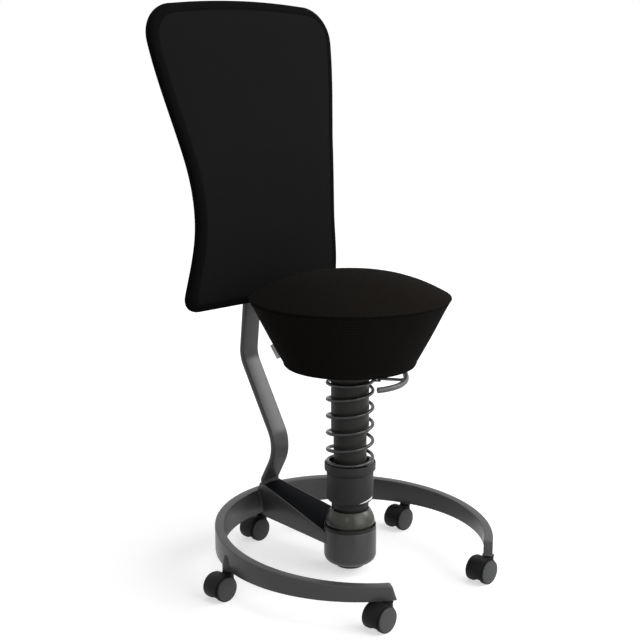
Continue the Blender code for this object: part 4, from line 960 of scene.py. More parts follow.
@dataclass
class BaseArm(Assembly):
    """The folded arm from the ring to the cup, with its moulded lid."""

    rear_half: float = 0.0235
    cup_half: float = 0.0528
    rear_y: float = 0.25165
    foot_y: float = 0.2355
    front_y: float = 0.03
    bottom: float = 0.0600
    top_rear: float = 0.1330
    top_cup: float = 0.0800
    wall: float = 0.003
    trough: float = 0.006
    shut: float = 0.00002
    heel_top: float = 0.1130
    heel_depth: float = 0.0245
    block_edge: float = 0.2442
    block_drop: float = 0.0125
    bead: float = 0.0016
    bead_ends: Pair = (0.003, 0.004)
    bead_sink: Pair = (0.0006, 0.0003)
    bead_steps: int = 18
    cup_reach: float = 0.0538
    fold: float = 0.0035
    lip: float = 0.0011
    lid_sink: float = 0.0010
    lid_crown: float = 0.003
    lid_gap: float = 0.0004
    lid_thickness: float = 0.004
    lid_round: float = 0.0016
    lid_clear: float = 0.0007
    lid_length: float = 0.15
    lid_columns: int = 26
    lid_rows: int = 48
    corner_steps: int = 4
    rows: int = 44
    block_rows: int = 18
    columns: int = 16

    def half(self, y: float) -> float:
        """Give half the arm's width at a place along y."""
        return between(self.cup_half, self.rear_half, y / self.rear_y)

    def top(self, y: float) -> float:
        """Give the arm's top height at a place along y."""
        return between(self.top_cup, self.top_rear, min(y / self.foot_y, 1.0))

    def front(self, across: float, narrower: float, reach: float) -> float:
        """Give the y at which a line along the arm meets the cup.

        Args:
            across: The line's share of the half width.
            narrower: How much is taken off the half width.
            reach: The radius round the column that it stops at.

        Returns:
            The y of the meeting point.
        """
        flare = (self.cup_half - self.rear_half) / self.rear_y
        start = self.cup_half - narrower
        square = 1 + (across * flare) ** 2
        linear = across ** 2 * start * flare
        root = linear ** 2 - square * ((across * start) ** 2 - reach ** 2)
        return (linear + math.sqrt(max(root, 0.0))) / square

    def section(self, share: float, depth: float, rear: bool) -> list[Vector]:
        """Give the channel's section.

        Args:
            share: How far along, from the cup at 0 to the seat of the upright at 1, or on to the ring.
            depth: The trough's depth there.
            rear: Whether the section is in the block behind the trough.

        Returns:
            The section's points.
        """
        seat = self.foot_y - self.wall
        y = between(seat, self.rear_y, share) if rear else between(self.front_y, seat, share)
        half, top = self.half(y), self.top(y)
        low = self.bottom
        if y > self.block_edge:
            top -= self.block_drop * (y - self.block_edge) / (self.rear_y - self.block_edge)
        if rear:
            into = (y - self.rear_y + self.heel_depth) / self.heel_depth
            low = between(self.bottom, self.heel_top, max(into, 0.0))
        inner = half - self.wall
        outline = rounded(((-half, low, self.fold), (half, low, self.fold), (half, top, self.lip),
                           (inner, top, self.lip), (inner, top - depth, 0.0), (-inner, top - depth, 0.0),
                           (-inner, top, self.lip), (-half, top, self.lip)), self.corner_steps, True)
        points = []
        for x, height in self.spread(outline, half):
            across = x / half
            place = y if rear else between(self.front(across, 0.0, self.cup_reach), seat, share)
            level = height - top + self.top(place) if height > (low + top) / 2 and not rear else height
            points.append(Vector((across * self.half(place), place, level)))
        return points

    def spread(self, outline: Sequence[Pair], half: float) -> list[Pair]:
        """Add points along the edges of a section that run right across it.

        Args:
            outline: The section's points.
            half: The shortest edge that is divided.

        Returns:
            The section with its added points.
        """
        points = []
        for one, two in zip(outline, [*outline[1:], outline[0]]):
            steps = self.columns if abs(two[0] - one[0]) > half else 1
            points += [(between(one[0], two[0], step / steps), between(one[1], two[1], step / steps))
                       for step in range(steps)]
        return points

    def weld(self, side: float) -> list[Vector]:
        """Give the line of the bead that joins one side of the arm to the ring.

        Args:
            side: -1 for the left side or 1 for the right.

        Returns:
            The line's points.
        """
        above, short = self.bead_ends
        back, inwards = self.bead_sink
        points = []
        for step in range(self.bead_steps + 1):
            height = between(self.heel_top + above, self.bottom + short, step / self.bead_steps)
            into = max(self.heel_top - height, 0.0) / (self.heel_top - self.bottom)
            y = self.rear_y - back - self.heel_depth * into
            points.append(Vector((side * (self.half(y) - inwards), y, height)))
        return points

    def build(self) -> None:
        """Fold the channel and lay the lid in it."""
        sketch = Sketch()
        loops = [self.section(row / self.rows, self.trough, False) for row in range(self.rows + 1)]
        loops += [self.section(between(0.002, 1.0, row / self.block_rows), self.shut, True)
                  for row in range(self.block_rows + 1)]
        ends = sketch.loft(loops, False)
        # The underside's points: those between its two folded corners, and the corners' own
        below = self.columns + 2 * self.corner_steps + 1
        sketch.zip_up(ends[0][:below], ends[0][:below - 1:-1])
        sketch.work.faces.new(ends[-1])
        for side in (-1.0, 1.0):
            sketch.sweep(self.weld(side), self.bead, 12, 0.0008)
        self.shop.piece("arm_channel", sketch.mesh("arm_channel"), "coat_graphite", "base", ["base_arm"])
        self.shop.piece("arm_lid", self.lid(), "plastic_lid", "base", ["arm_cover"])

    def lid(self) -> bpy.types.Mesh:
        """Mould the crowned lid with a rounded border.

        Returns:
            The mesh.
        """
        columns, rows = self.lid_columns, self.lid_rows
        sketch = Sketch()
        narrower = self.wall + self.lid_gap
        rear = self.foot_y - self.wall - self.lid_gap
        grid = []
        for row in range(rows + 1):
            line = []
            for column in range(columns + 1):
                across = math.sin((2 * column / columns - 1) * math.pi / 2)
                share = ease(row / rows)
                y = between(self.front(across, narrower, self.cup_reach + self.lid_clear), rear, share)
                half = self.half(y) - narrower
                border = min((1 - abs(across)) * half, min(share, 1 - share) * self.lid_length)
                near = min(border / self.lid_round, 1.0)
                drop = self.lid_round * (1 - math.sqrt(max(1 - (1 - near) ** 2, 0.0)))
                height = self.top(y) - self.lid_sink + self.lid_crown * (1 - across ** 2) - drop
                line.append(sketch.work.verts.new((across * half, y, height)))
            grid.append(line)
        border = grid[0] + [line[-1] for line in grid[1:]]
        border += grid[-1][-2::-1] + [line[0] for line in grid[-2:0:-1]]
        for one, two in zip(grid, grid[1:]):
            for column in range(columns):
                after = column + 1
                sketch.work.faces.new((one[column], one[after], two[after], two[column]))
        thick = Vector((0.0, 0.0, self.lid_thickness))
        below = [sketch.work.verts.new(vert.co - thick) for vert in border]
        for index in range(len(border)):
            after = (index + 1) % len(border)
            sketch.work.faces.new((border[index], border[after], below[after], below[index]))
        sketch.work.faces.new(below)
        return sketch.mesh("arm_lid")


@dataclass
class TiltBearing(Assembly):
    """The cup, its foot and clamp ring, and the rubber dome that tilts in them."""

    pivot: float = 0.0995
    gap: float = 0.0003
    dome_radius: float = 0.0508
    dome_wall: float = 0.0014
    dome_top: float = 0.0323
    dome_bottom: float = 0.0300
    dome_lip: float = 0.0036
    dome_recess: float = 0.0042
    dome_steps: int = 28
    bowl_gap: float = 0.0005
    cup_radius: float = 0.0535
    cup_top: float = 0.0915
    cup_rim: float = 0.006
    cup_shoulder: float = 0.0360
    cup_bottom: float = 0.0185
    cup_foot: float = 0.0360
    shoulder_steps: int = 12
    cap_radius: float = 0.0330
    cap_bottom: float = 0.0100
    cap_dish: float = 0.0012
    cap_steps: int = 72
    clamp_height: float = 0.0064
    clamp_inset: float = 0.0005
    clamp_gap: float = 0.0011
    steps: int = 112

    def dome_line(self, radius: float, start: float, end: float) -> list[Pair]:
        """Give points on a sphere about the pivot between two heights from it.

        Args:
            radius: The sphere's radius.
            start: First height above the pivot.
            end: Last height above the pivot.

        Returns:
            Points of radius and height.
        """
        first, last = math.asin(start / radius), math.asin(end / radius)
        turns = [between(first, last, step / self.dome_steps) for step in range(self.dome_steps + 1)]
        return [(radius * math.cos(turn), self.pivot + radius * math.sin(turn)) for turn in turns]

    def cup(self) -> list[Pair]:
        """Give the cup's profile from the bottom of its bowl over its rim to its foot.

        Returns:
            Points of radius and height.
        """
        hollow = self.dome_radius + self.bowl_gap
        lip = math.sqrt(hollow ** 2 - (self.pivot - self.cup_top) ** 2)
        rim_low = self.cup_top - self.cup_rim
        bowl = self.dome_line(hollow, -0.999 * hollow, rim_low - 0.001 - self.pivot)
        shoulder = []
        for step in range(self.shoulder_steps + 1):
            turn = math.radians(90.0 * step / self.shoulder_steps)
            shoulder.append((self.cup_foot + (self.cup_radius - self.cup_foot) * math.cos(turn),
                             self.cup_shoulder - (self.cup_shoulder - self.cup_bottom) * math.sin(turn)))
        rim = rounded(((lip, rim_low, 0.0), (lip, self.cup_top, 0.0004),
                       (self.cup_radius, self.cup_top, 0.0015), (*shoulder[0], 0.0)), 5)
        return [(0.0, self.pivot - hollow), *bowl, *rim, *shoulder[1:], (0.0, self.cup_bottom)]

    def cap(self) -> list[Pair]:
        """Give the profile of the cap under the cup, dished below.

        Returns:
            Points of radius and height.
        """
        wide, top, low = self.cap_radius, self.cup_bottom - self.gap, self.cap_bottom
        dish = low + self.cap_dish
        return rounded(((0.0, top, 0.0), (wide, top, 0.0006), (wide - 0.0015, top - 0.0045, 0.0015),
                        (wide - 0.004, low, 0.0012), (wide - 0.010, low, 0.0005),
                        (wide - 0.011, dish, 0.0005), (0.0, dish, 0.0)), 4)

    def clamp(self) -> list[Pair]:
        """Give the clamp ring's closed section.

        Returns:
            Points of radius and height.
        """
        low = self.cup_top + self.gap
        high = low + self.clamp_height
        outer, inner = self.cup_radius - self.clamp_inset, self.dome_radius + self.clamp_gap
        return rounded(((outer, low, 0.0010), (outer, high, 0.0010), (inner, high, 0.0004),
                        (inner, low, 0.0002)), 5, True)

    def dome(self) -> list[Pair]:
        """Give the dome's closed section: its recess, its lip, its outside and its lining.

        Returns:
            Points of radius and height.
        """
        wide = self.dome_radius
        socket = self.dome_line(wide - self.dome_recess, -self.dome_bottom, self.dome_lip - 0.0014)
        deep, level = socket[-1]
        lip = [(deep + 0.0012, level + 0.0002), (wide - 0.0012, level + 0.0003),
               (wide - 0.0004, level + 0.0008)]
        outside = self.dome_line(wide, self.dome_lip, self.dome_top - 0.0008)
        brim, crest = outside[-1]
        edge = [(brim - 0.0005, crest + 0.0006), (brim - 0.0011, crest + 0.0007)]
        inside = self.dome_line(wide - self.dome_wall, self.dome_top - 0.0004, self.dome_lip + 0.002)
        lining = self.dome_line(wide - self.dome_recess - self.dome_wall, 0.0, -self.dome_bottom)
        return socket + lip + outside + edge + inside + lining

    def build(self) -> None:
        """Turn every piece of the bearing."""
        turn, steps = self.shop.turn, self.steps
        turn("cup_casting", self.cup(), steps, False, "coat_graphite", "base", "joint_cup")
        turn("cup_foot", self.cap(), self.cap_steps, False, "plastic_knob", "base", "cup_foot_cap")
        turn("clamp_ring", self.clamp(), steps, True, "coat_sleeve", "base", "retaining_ring")
        turn("rubber_dome", self.dome(), steps, True, "rubber_dome", "liner", "bearing_liner")
        self.shop.dress("steel_black", "bearing_ball")


@dataclass
class Column(Assembly):
    """The telescoping column between the bearing and the seat."""

    tube_radius: float = 0.0335
    tube_wall: float = 0.0023
    tube: Pair = (0.080, 0.355)
    running_gap: float = 0.0003
    neck_radius: float = 0.03775
    neck: Pair = (0.1345, 0.1700)
    neck_hollow: float = 0.0040
    knob_radius: float = 0.0475
    knob: Pair = (0.1500, 0.2093)
    knob_chamfer: Pair = (0.0040, 0.0036)
    knob_taper: Pair = (0.0006, 0.0090)
    knob_wall: float = 0.005
    knob_web: float = 0.020
    collar_radius: float = 0.0520
    collar: Pair = (0.2096, 0.2304)
    collar_floor: float = 0.2226
    collar_bore: float = 0.0498
    sleeve_radius: float = 0.0385
    sleeve: Pair = (0.2940, 0.4077)
    perch_radius: float = 0.0520
    perch: Pair = (0.4080, 0.4140)
    perch_bore: float = 0.0312
    lift_radius: float = 0.0250
    lift: Pair = (0.2620, 0.4250)
    mark_angles: Pair = (-113.0, -67.0)
    mark_bottoms: Pair = (0.1537, 0.1566)
    mark_tops: Pair = (0.1541, 0.1620)
    mark_bow: float = 0.85
    mark_proud: float = 0.00012
    mark_columns: int = 30
    mark_rungs: int = 8
    steps: int = 104

    def ring(self, name: str, corners: Sequence[Corner], finish: str, body: str, node: str) -> None:
        """Turn a ring of the column from the corners of its closed section."""
        self.shop.turn(name, rounded(corners, 5, True), self.steps, True, finish, body, node)

    def build(self) -> None:
        """Turn the tube, neck, knob, collar, sleeve, perch and cylinder."""
        bore = self.tube_radius + self.running_gap
        wide = self.neck_radius
        low, high = self.neck
        corners = ((wide, low, 0.0014), (wide, high, 0.0006), (bore, high, 0.0),
                   (bore, low + self.neck_hollow, 0.0004))
        self.ring("neck_sleeve", corners, "plastic_neck", "strut", "strut_neck")
        self.turn_knob(bore)
        wide, inner, floor = self.collar_radius, self.collar_bore, self.collar_floor
        low, high = self.collar
        corners = ((wide - 0.0052, low, 0.0008), (wide - 0.0040, low + 0.0022, 0.0010),
                   (wide, low + 0.0062, 0.0012), (wide, high, 0.0010), (inner, high, 0.0008),
                   (inner, floor, 0.0008), (bore, floor, 0.0004), (bore, low, 0.0004))
        self.ring("spring_cup", corners, "plastic_knob", "collar", "spring_collar")
        wide = self.sleeve_radius
        low, high = self.sleeve
        corners = ((wide, low, 0.0012), (wide, high, 0.0004), (bore, high, 0.0), (bore, low, 0.0005))
        self.ring("column_sleeve", corners, "coat_sleeve", "sleeve", "dust_sleeve")
        wide, inner = self.perch_radius, self.perch_bore
        low, high = self.perch
        corners = ((wide, low, 0.0016), (wide, high, 0.0010), (inner, high, 0.0004), (inner, low, 0.0004))
        self.ring("spring_plate", corners, "coat_sleeve", "sleeve", "spring_perch")
        wide, inner = self.tube_radius, self.tube_radius - self.tube_wall
        low, high = self.tube
        corners = ((wide, low, 0.0006), (wide, high, 0.0006), (inner, high, 0.0006),
                   (inner, low + 0.004, 0.0))
        self.ring("column_tube", corners, "coat_sleeve", "strut", "strut_tube")
        wide = self.lift_radius
        low, high = self.lift
        profile = rounded(((0.0, low, 0.0), (wide - 0.001, low, 0.0006), (wide, low + 0.002, 0.0006),
                           (wide, high, 0.0018), (0.0, high, 0.0)), 5)
        self.shop.turn("gas_cylinder", profile, self.steps, False, "steel_black", "lift", "lift_cylinder")
        self.shop.dress("steel_turned", "piston_rod", "valve_pin", "guide_tube")
        self.shop.dress("plastic_knob", "guide_bush")
        self.mark()

    def turn_knob(self, bore: float) -> None:
        """Turn the knob: a skirt with a chamfered lower edge, hung from a web round the tube.

        Args:
            bore: The radius of the hole that the tube runs in.
        """
        wide, inner = self.knob_radius, self.knob_radius - self.knob_wall
        low, high = self.knob
        cut, cut_height = self.knob_chamfer
        thin, thin_height = self.knob_taper
        web = high - self.knob_web
        corners = ((wide - cut, low, 0.0010), (wide - thin, low + cut_height, 0.0016),
                   (wide, low + thin_height, 0.0008), (wide, high - 0.0012, 0.0008),
                   (wide - 0.0012, high, 0.0004), (bore, high, 0.0), (bore, web, 0.0), (inner, web, 0.001),
                   (inner, low, 0.0006))
        self.ring("tension_knob", corners, "plastic_knob", "knob", "preload_knob")

    def knob_side(self, height: float) -> float:
        """Give the knob's radius at a height on its chamfered lower edge.

        Args:
            height: The height.

        Returns:
            The radius.
        """
        up, wide = height - self.knob[0], self.knob_radius
        cut, cut_height = self.knob_chamfer
        thin, thin_height = self.knob_taper
        if up < cut_height:
            return between(wide - cut, wide - thin, up / cut_height)
        return between(wide - thin, wide, min((up - cut_height) / (thin_height - cut_height), 1.0))

    def mark(self) -> None:
        """Print the knob's plain wedge, which widens to one side."""
        sketch = Sketch()
        loops = []
        for step in range(self.mark_columns + 1):
            share = step / self.mark_columns
            angle = math.radians(between(*self.mark_angles, share))
            low = between(*self.mark_bottoms, share)
            high = between(*self.mark_tops, share ** self.mark_bow)
            heights = [between(low, high, rung / self.mark_rungs) for rung in range(self.mark_rungs + 1)]
            line = [(self.knob_side(z) + self.mark_proud, z) for z in heights]
            line += [(self.knob_side(z) - 2 * self.mark_proud, z) for z in reversed(heights)]
            loops.append([polar(radius, angle, z) for radius, z in line])
        sketch.loft(loops)
        self.shop.piece("knob_wedge", sketch.mesh("knob_wedge"), "ink_white", "knob")


@dataclass
class WoundSpring(Assembly):
    """The open coil spring, with a closed turn at each end."""

    radius: float = 0.0459
    wire: float = 0.0036
    bottom: float = 0.2265
    top: float = 0.4041
    closed_pitch: float = 0.0085
    closed_turns: float = 1.0
    active_turns: float = 4.6
    phase: float = -92.0
    foot: float = 0.2229
    stroke: float = 0.05
    points_per_turn: int = 44
    sides: int = 16
    end_round: float = 0.0005

    def line(self) -> list[Vector]:
        """Give the wire's centre line from the collar to the perch.

        Returns:
            The line's points.
        """
        turns = self.active_turns + 2 * self.closed_turns
        count = round(turns * self.points_per_turn)
        rise = self.top - self.bottom - 2 * self.closed_turns * self.closed_pitch
        points = []
        for step in range(count + 1):
            wound = turns * step / count
            active = min(max(wound - self.closed_turns, 0.0), self.active_turns)
            height = self.bottom + (wound - active) * self.closed_pitch + rise * active / self.active_turns
            angle = math.radians(self.phase) + 2 * math.pi * wound
            points.append(polar(self.radius, angle, height))
        return points

    def build(self) -> None:
        """Wind the wire on the collar's body and give the piece its own mesh."""
        sketch = Sketch()
        sketch.sweep(self.line(), self.wire, self.sides, self.end_round)
        piece = self.shop.piece("wound_spring", sketch.mesh("wound_spring"), "steel_spring", "collar",
                                ["coil_spring"])
        free = self.top + self.wire - self.foot
        (free - self.stroke) / free
        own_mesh(piece)


@dataclass
class Seat(Assembly):
    """The domed cushion in its sewn cover with a tab, its board, its plate and the plate's screws."""

    rim_radius: float = 0.2010
    rim_height: float = 0.5708
    crown: float = 0.050
    crown_power: float = 2.4
    base_radius: float = 0.1350
    base_height: float = 0.4311
    edge_round: float = 0.010
    board_radius: float = 0.1123
    board_top: float = 0.4434
    slack: float = 0.0012
    lip: float = 0.0022
    groove: float = 0.0034
    side_bulge: float = 0.0010
    seam_angle: float = 133.3
    columns: int = 132
    plate_bottom: float = 0.4253
    screw_circle: float = 0.064
    screw_turn: float = 53.0
    screw_size: Pair = (0.0052, 0.0026)
    screw_columns: int = 32
    slot_half: float = 0.17
    slot_depth: float = 0.45
    strip_radius: float = 0.168
    strip_stretch: float = 1.12
    strip_turn: float = 0.35
    held_band: Pair = (0.0085, 0.0065)
    waves: tuple[Pair, ...] = ((9.0, 0.0007), (31.0, 0.00025))
    dent: Pair = (0.0011, 0.0016)
    side_pucker: Corner = (17.0, 0.018, 0.0009)
    top_pucker: Corner = (15.0, 0.016, 0.0007)
    tab_root: Pair = (0.1451, 0.4601)
    tab_slope: Pair = (0.43, 0.903)
    tab_length: float = 0.031
    tab_depth: float = 0.0062
    tab_fold: float = 0.0020
    tab_half: float = 0.0007
    tab_wave: Pair = (0.0012, 0.008)

    def profile(self) -> list[Pair]:
        """Give the cover's outline from the crown over the rim's tucked seam to the board.

        Returns:
            Points of radius and height.
        """
        rim, height = self.rim_radius, self.rim_height
        dome = []
        for ring in range(33):
            share = ring / 32 * (1 - self.lip / rim)
            dome.append((rim * share, height - self.slack + self.crown * (1 - share ** self.crown_power)))
        edge = dome[-1][1]
        lip = [(rim - 0.0006, edge - 0.0012), (rim - 0.0002, edge - 0.0026), (rim - 0.0009, edge - 0.0040),
               (rim - self.groove, edge - 0.0044), (rim - self.groove - 0.0002, edge - 0.0056)]
        start = (rim - 0.0027, edge - 0.0066)
        foot = (self.base_radius, self.base_height + self.edge_round)
        side = [(start[0] - 0.0008, start[1] + 0.0006)]
        for ring in range(25):
            share = ring / 24
            bulge = self.side_bulge * math.sin(math.pi * share) - self.slack * min(share * 6, 1.0)
            side.append((between(start[0], foot[0], share) + bulge, between(start[1], foot[1], share)))
        inner = self.base_radius - self.edge_round - self.slack
        heel = []
        for step in range(1, 9):
            turn = math.radians(90.0 * step / 8)
            heel.append((inner + self.edge_round * math.cos(turn),
                         foot[1] - self.edge_round * math.sin(turn)))
        under = [(self.board_radius + 0.006, self.base_height), (self.board_radius, self.base_height),
                 (self.board_radius, self.board_top), (0.0, self.board_top)]
        return dome + lip + side + heel + under

    def angles(self) -> list[float]:
        """Give the cover's columns, crowded at the seam of its side panel.

        Returns:
            The columns' angles in order.
        """
        seam = math.radians(self.seam_angle)
        even = [seam + 2 * math.pi * step / self.columns for step in range(self.columns)]
        crowded = [seam + offset for offset in (-0.020, -0.010, -0.005, 0.005, 0.010, 0.020)]
        return sorted(even + crowded)

    def lay_flat(self, point: Vector, middle: Vector, normal: Vector) -> Pair:
        """Give a point's place on the cut cloth: a round top and a bent side strip.

        Args:
            point: The point.
            middle: Its face's middle.
            normal: Its face's normal.

        Returns:
            The flat coordinates in metres.
        """
        if normal.z > self.strip_turn:
            return (point.x, point.y)
        round_about = math.atan2(middle.y, middle.x)
        turn = math.atan2(point.y, point.x) - round_about
        turn = (turn + math.pi) % (2 * math.pi) - math.pi
        return ((round_about + turn) * self.strip_radius, point.z * self.strip_stretch)

    def held(self, point: Vector) -> bool:
        """Say whether a point of the cover is sewn into the rim's seam or held on the board.

        Args:
            point: The point.

        Returns:
            True where the cloth can't move.
        """
        radius = math.hypot(point.x, point.y)
        if point.z < self.base_height + self.edge_round * 0.8:
            return True
        if radius < self.board_radius + 0.002 and point.z < self.board_top + 0.001:
            return True
        tall, wide = self.held_band
        return abs(point.z - self.rim_height) < tall and radius > self.rim_radius - wide

    def pucker(self, piece: bpy.types.Object) -> None:
        """Draw the cloth into its seams with small uneven puckers.

        Args:
            piece: The filled cover.
        """
        seam = math.radians(self.seam_angle)
        deep, wide = self.dent
        for vertex in piece.data.vertices:
            point = vertex.co
            radius = math.hypot(point.x, point.y)
            if radius < 0.02 or point.z < self.base_height + 0.004:
                continue
            angle = math.atan2(point.y, point.x)
            outwards = Vector((point.x / radius, point.y / radius, 0.0))
            below = self.rim_height - 0.008 - point.z
            uneven = lumps(point, self.waves)
            if below > 0.0:
                count, reach, high = self.side_pucker
                wave = noise.noise(Vector((angle * count, 0.0, 4.0)))
                away = (angle - seam + math.pi) % (2 * math.pi) - math.pi
                dent = deep * math.exp(-(away * radius / wide) ** 2) * min(below / 0.01, 1.0)
                vertex.co += outwards * (wave * math.exp(-below / reach) * high + uneven - dent)
            elif radius < self.rim_radius - 0.004:
                count, reach, high = self.top_pucker
                wave = noise.noise(Vector((angle * count, 7.0, 0.0)))
                near = math.exp(-(self.rim_radius - radius) / reach)
                vertex.co += Vector((0.0, 0.0, wave * near * high + uneven))

    def build(self) -> None:
        """Sew, fill and fit the cushion, then dress the plate and add its screws."""
        sketch = Sketch()
        sketch.lathe(self.profile(), self.columns, angles=self.angles())
        sketch.flatten(self.lay_flat)
        piece = self.shop.piece("seat_cover", sketch.mesh("seat_cover", 60.0), "cloth_seat", "seat",
                                ["seat_cushion"])
        AirFill(pressure=4.0, cap=0.0032).settle(piece, self.held)
        self.pucker(piece)
        self.shop.dress("ply_black", "seat_board")
        self.shop.dress("coat_sleeve", "seat_plate")
        self.shop.dress("steel_turned", "lever_pin")
        self.tab()
        self.screws()

    def tab(self) -> None:
        """Sew a small blank folded tab into the side panel's seam."""
        sketch = Sketch()
        seam = math.radians(self.seam_angle)
        out = polar(1.0, seam, 0.0)
        cross = Vector((-math.sin(seam), math.cos(seam), 0.0))
        leaning, rising = self.tab_slope
        slope = Vector((out.x * leaning, out.y * leaning, rising))
        away = Vector((out.x * rising, out.y * rising, -leaning))
        radius, height = self.tab_root
        root = out * radius + Vector((0.0, 0.0, height))
        fold = []
        for step in range(25):
            turn = math.pi * (step / 24 - 0.5)
            fold.append((self.tab_depth + self.tab_fold * math.cos(turn), self.tab_half * math.sin(turn)))
        sewn = -self.tab_fold
        outline = [(sewn, -self.tab_half), *fold, (sewn, self.tab_half), (sewn, 0.0004)]
        outline += [(depth - 0.0005, side * 0.35) for depth, side in reversed(fold)] + [(sewn, -0.0004)]
        sway, full = self.tab_wave
        rows = []
        for step in range(13):
            share = step / 12 - 0.5
            lean = sway * math.sin(share * 5.0)
            middle = root + slope * (share * self.tab_length)
            rows.append([middle + away * depth + cross * (side + lean * depth / full)
                         for depth, side in outline])
        sketch.loft(rows)
        sketch.flatten(lambda point, middle, normal: ((point - root).dot(away), (point - root).dot(slope)))
        self.shop.piece("seat_tab", sketch.mesh("seat_tab"), "tape_pale", "seat")

    def screws(self) -> None:
        """Set four pan-head screws with crossed slots under the plate."""
        for number in range(4):
            angle = math.radians(self.screw_turn + 90.0 * number)
            spot = Matrix.Translation(polar(self.screw_circle, angle, self.plate_bottom))
            sketch = Sketch()
            sketch.loft(self.screw_head(spot @ Matrix.Rotation(math.pi, 4, "X")))
            self.shop.piece(f"plate_screw_{number + 1}", sketch.mesh("plate_screw"), "steel_black", "seat")

    def screw_head(self, place: Matrix) -> list[list[Vector]]:
        """Give the rings of a domed screw head with a crossed recess.

        Args:
            place: The head's seat, with its Z out of the seat.

        Returns:
            The rings from the seat up and in to the recess.
        """
        radius, height = self.screw_size
        dome = ((1.0, -0.05), (1.0, 0.35), (0.94, 0.62), (0.80, 0.86), (0.60, 1.0))
        recess = ((0.56, 1.0), (0.40, 1.0), (0.20, 1.0), (0.10, 1.0))
        rings = []
        for share, rise in dome + recess:
            ring = []
            for step in range(self.screw_columns):
                angle = 2 * math.pi * step / self.screw_columns
                crossed = min(abs(math.sin(angle)), abs(math.cos(angle))) * share < self.slot_half
                sunk = self.slot_depth * height if crossed and (share, rise) in recess else 0.0
                ring.append(place @ polar(radius * share, angle, height * rise - sunk))
            rings.append(ring)
        return rings


@dataclass
class HeightLever(Assembly):
    """The bent bar that hangs under the seat's front edge and releases the lift."""

    pivot: Vector = Vector((0.0080, -0.0670, 0.4130))
    bar: float = 0.0057
    leg: float = 0.0030
    start: float = 46.0
    end: float = -25.0
    near: float = 0.110
    far: float = 0.141
    join: float = 18.0
    heel: float = 0.007

    def point(self, angle: float) -> Vector:
        """Give the handle's point at an angle from the front.

        Args:
            angle: The angle in degrees.

        Returns:
            The point.
        """
        share = (self.start - angle) / (self.start - self.end)
        radius = between(self.near, self.far, ease(share))
        turn = math.radians(angle)
        return Vector((radius * math.sin(turn), -radius * math.cos(turn), self.pivot.z))

    def build(self) -> None:
        """Bend the handle and weld its leg on."""
        sketch = Sketch()
        line = [self.point(between(self.start, self.end, step / 60)) for step in range(61)]
        sketch.sweep(line, self.bar, 20, 0.0012)
        joint = self.point(self.join)
        outwards = (joint - self.pivot).normalized()
        first = self.pivot - outwards * self.heel
        sketch.sweep([first + (joint - first) * (step / 12) for step in range(13)], self.leg, 16, 0.0006)
        turned = outwards.to_track_quat("Z", "Y").to_matrix().to_4x4()
        weld = rounded(((0.0, -0.0022, 0.0), (self.leg + 0.0004, -0.0020, 0.0006),
                        (self.leg + 0.0013, 0.0006, 0.0008), (0.0, 0.0020, 0.0)), 4)
        sketch.lathe(weld, 20, placing=Matrix.Translation(joint - outwards * self.bar) @ turned)
        self.shop.piece("lever_bar", sketch.mesh("lever_bar"), "steel_lever", "lever", ["height_lever"])


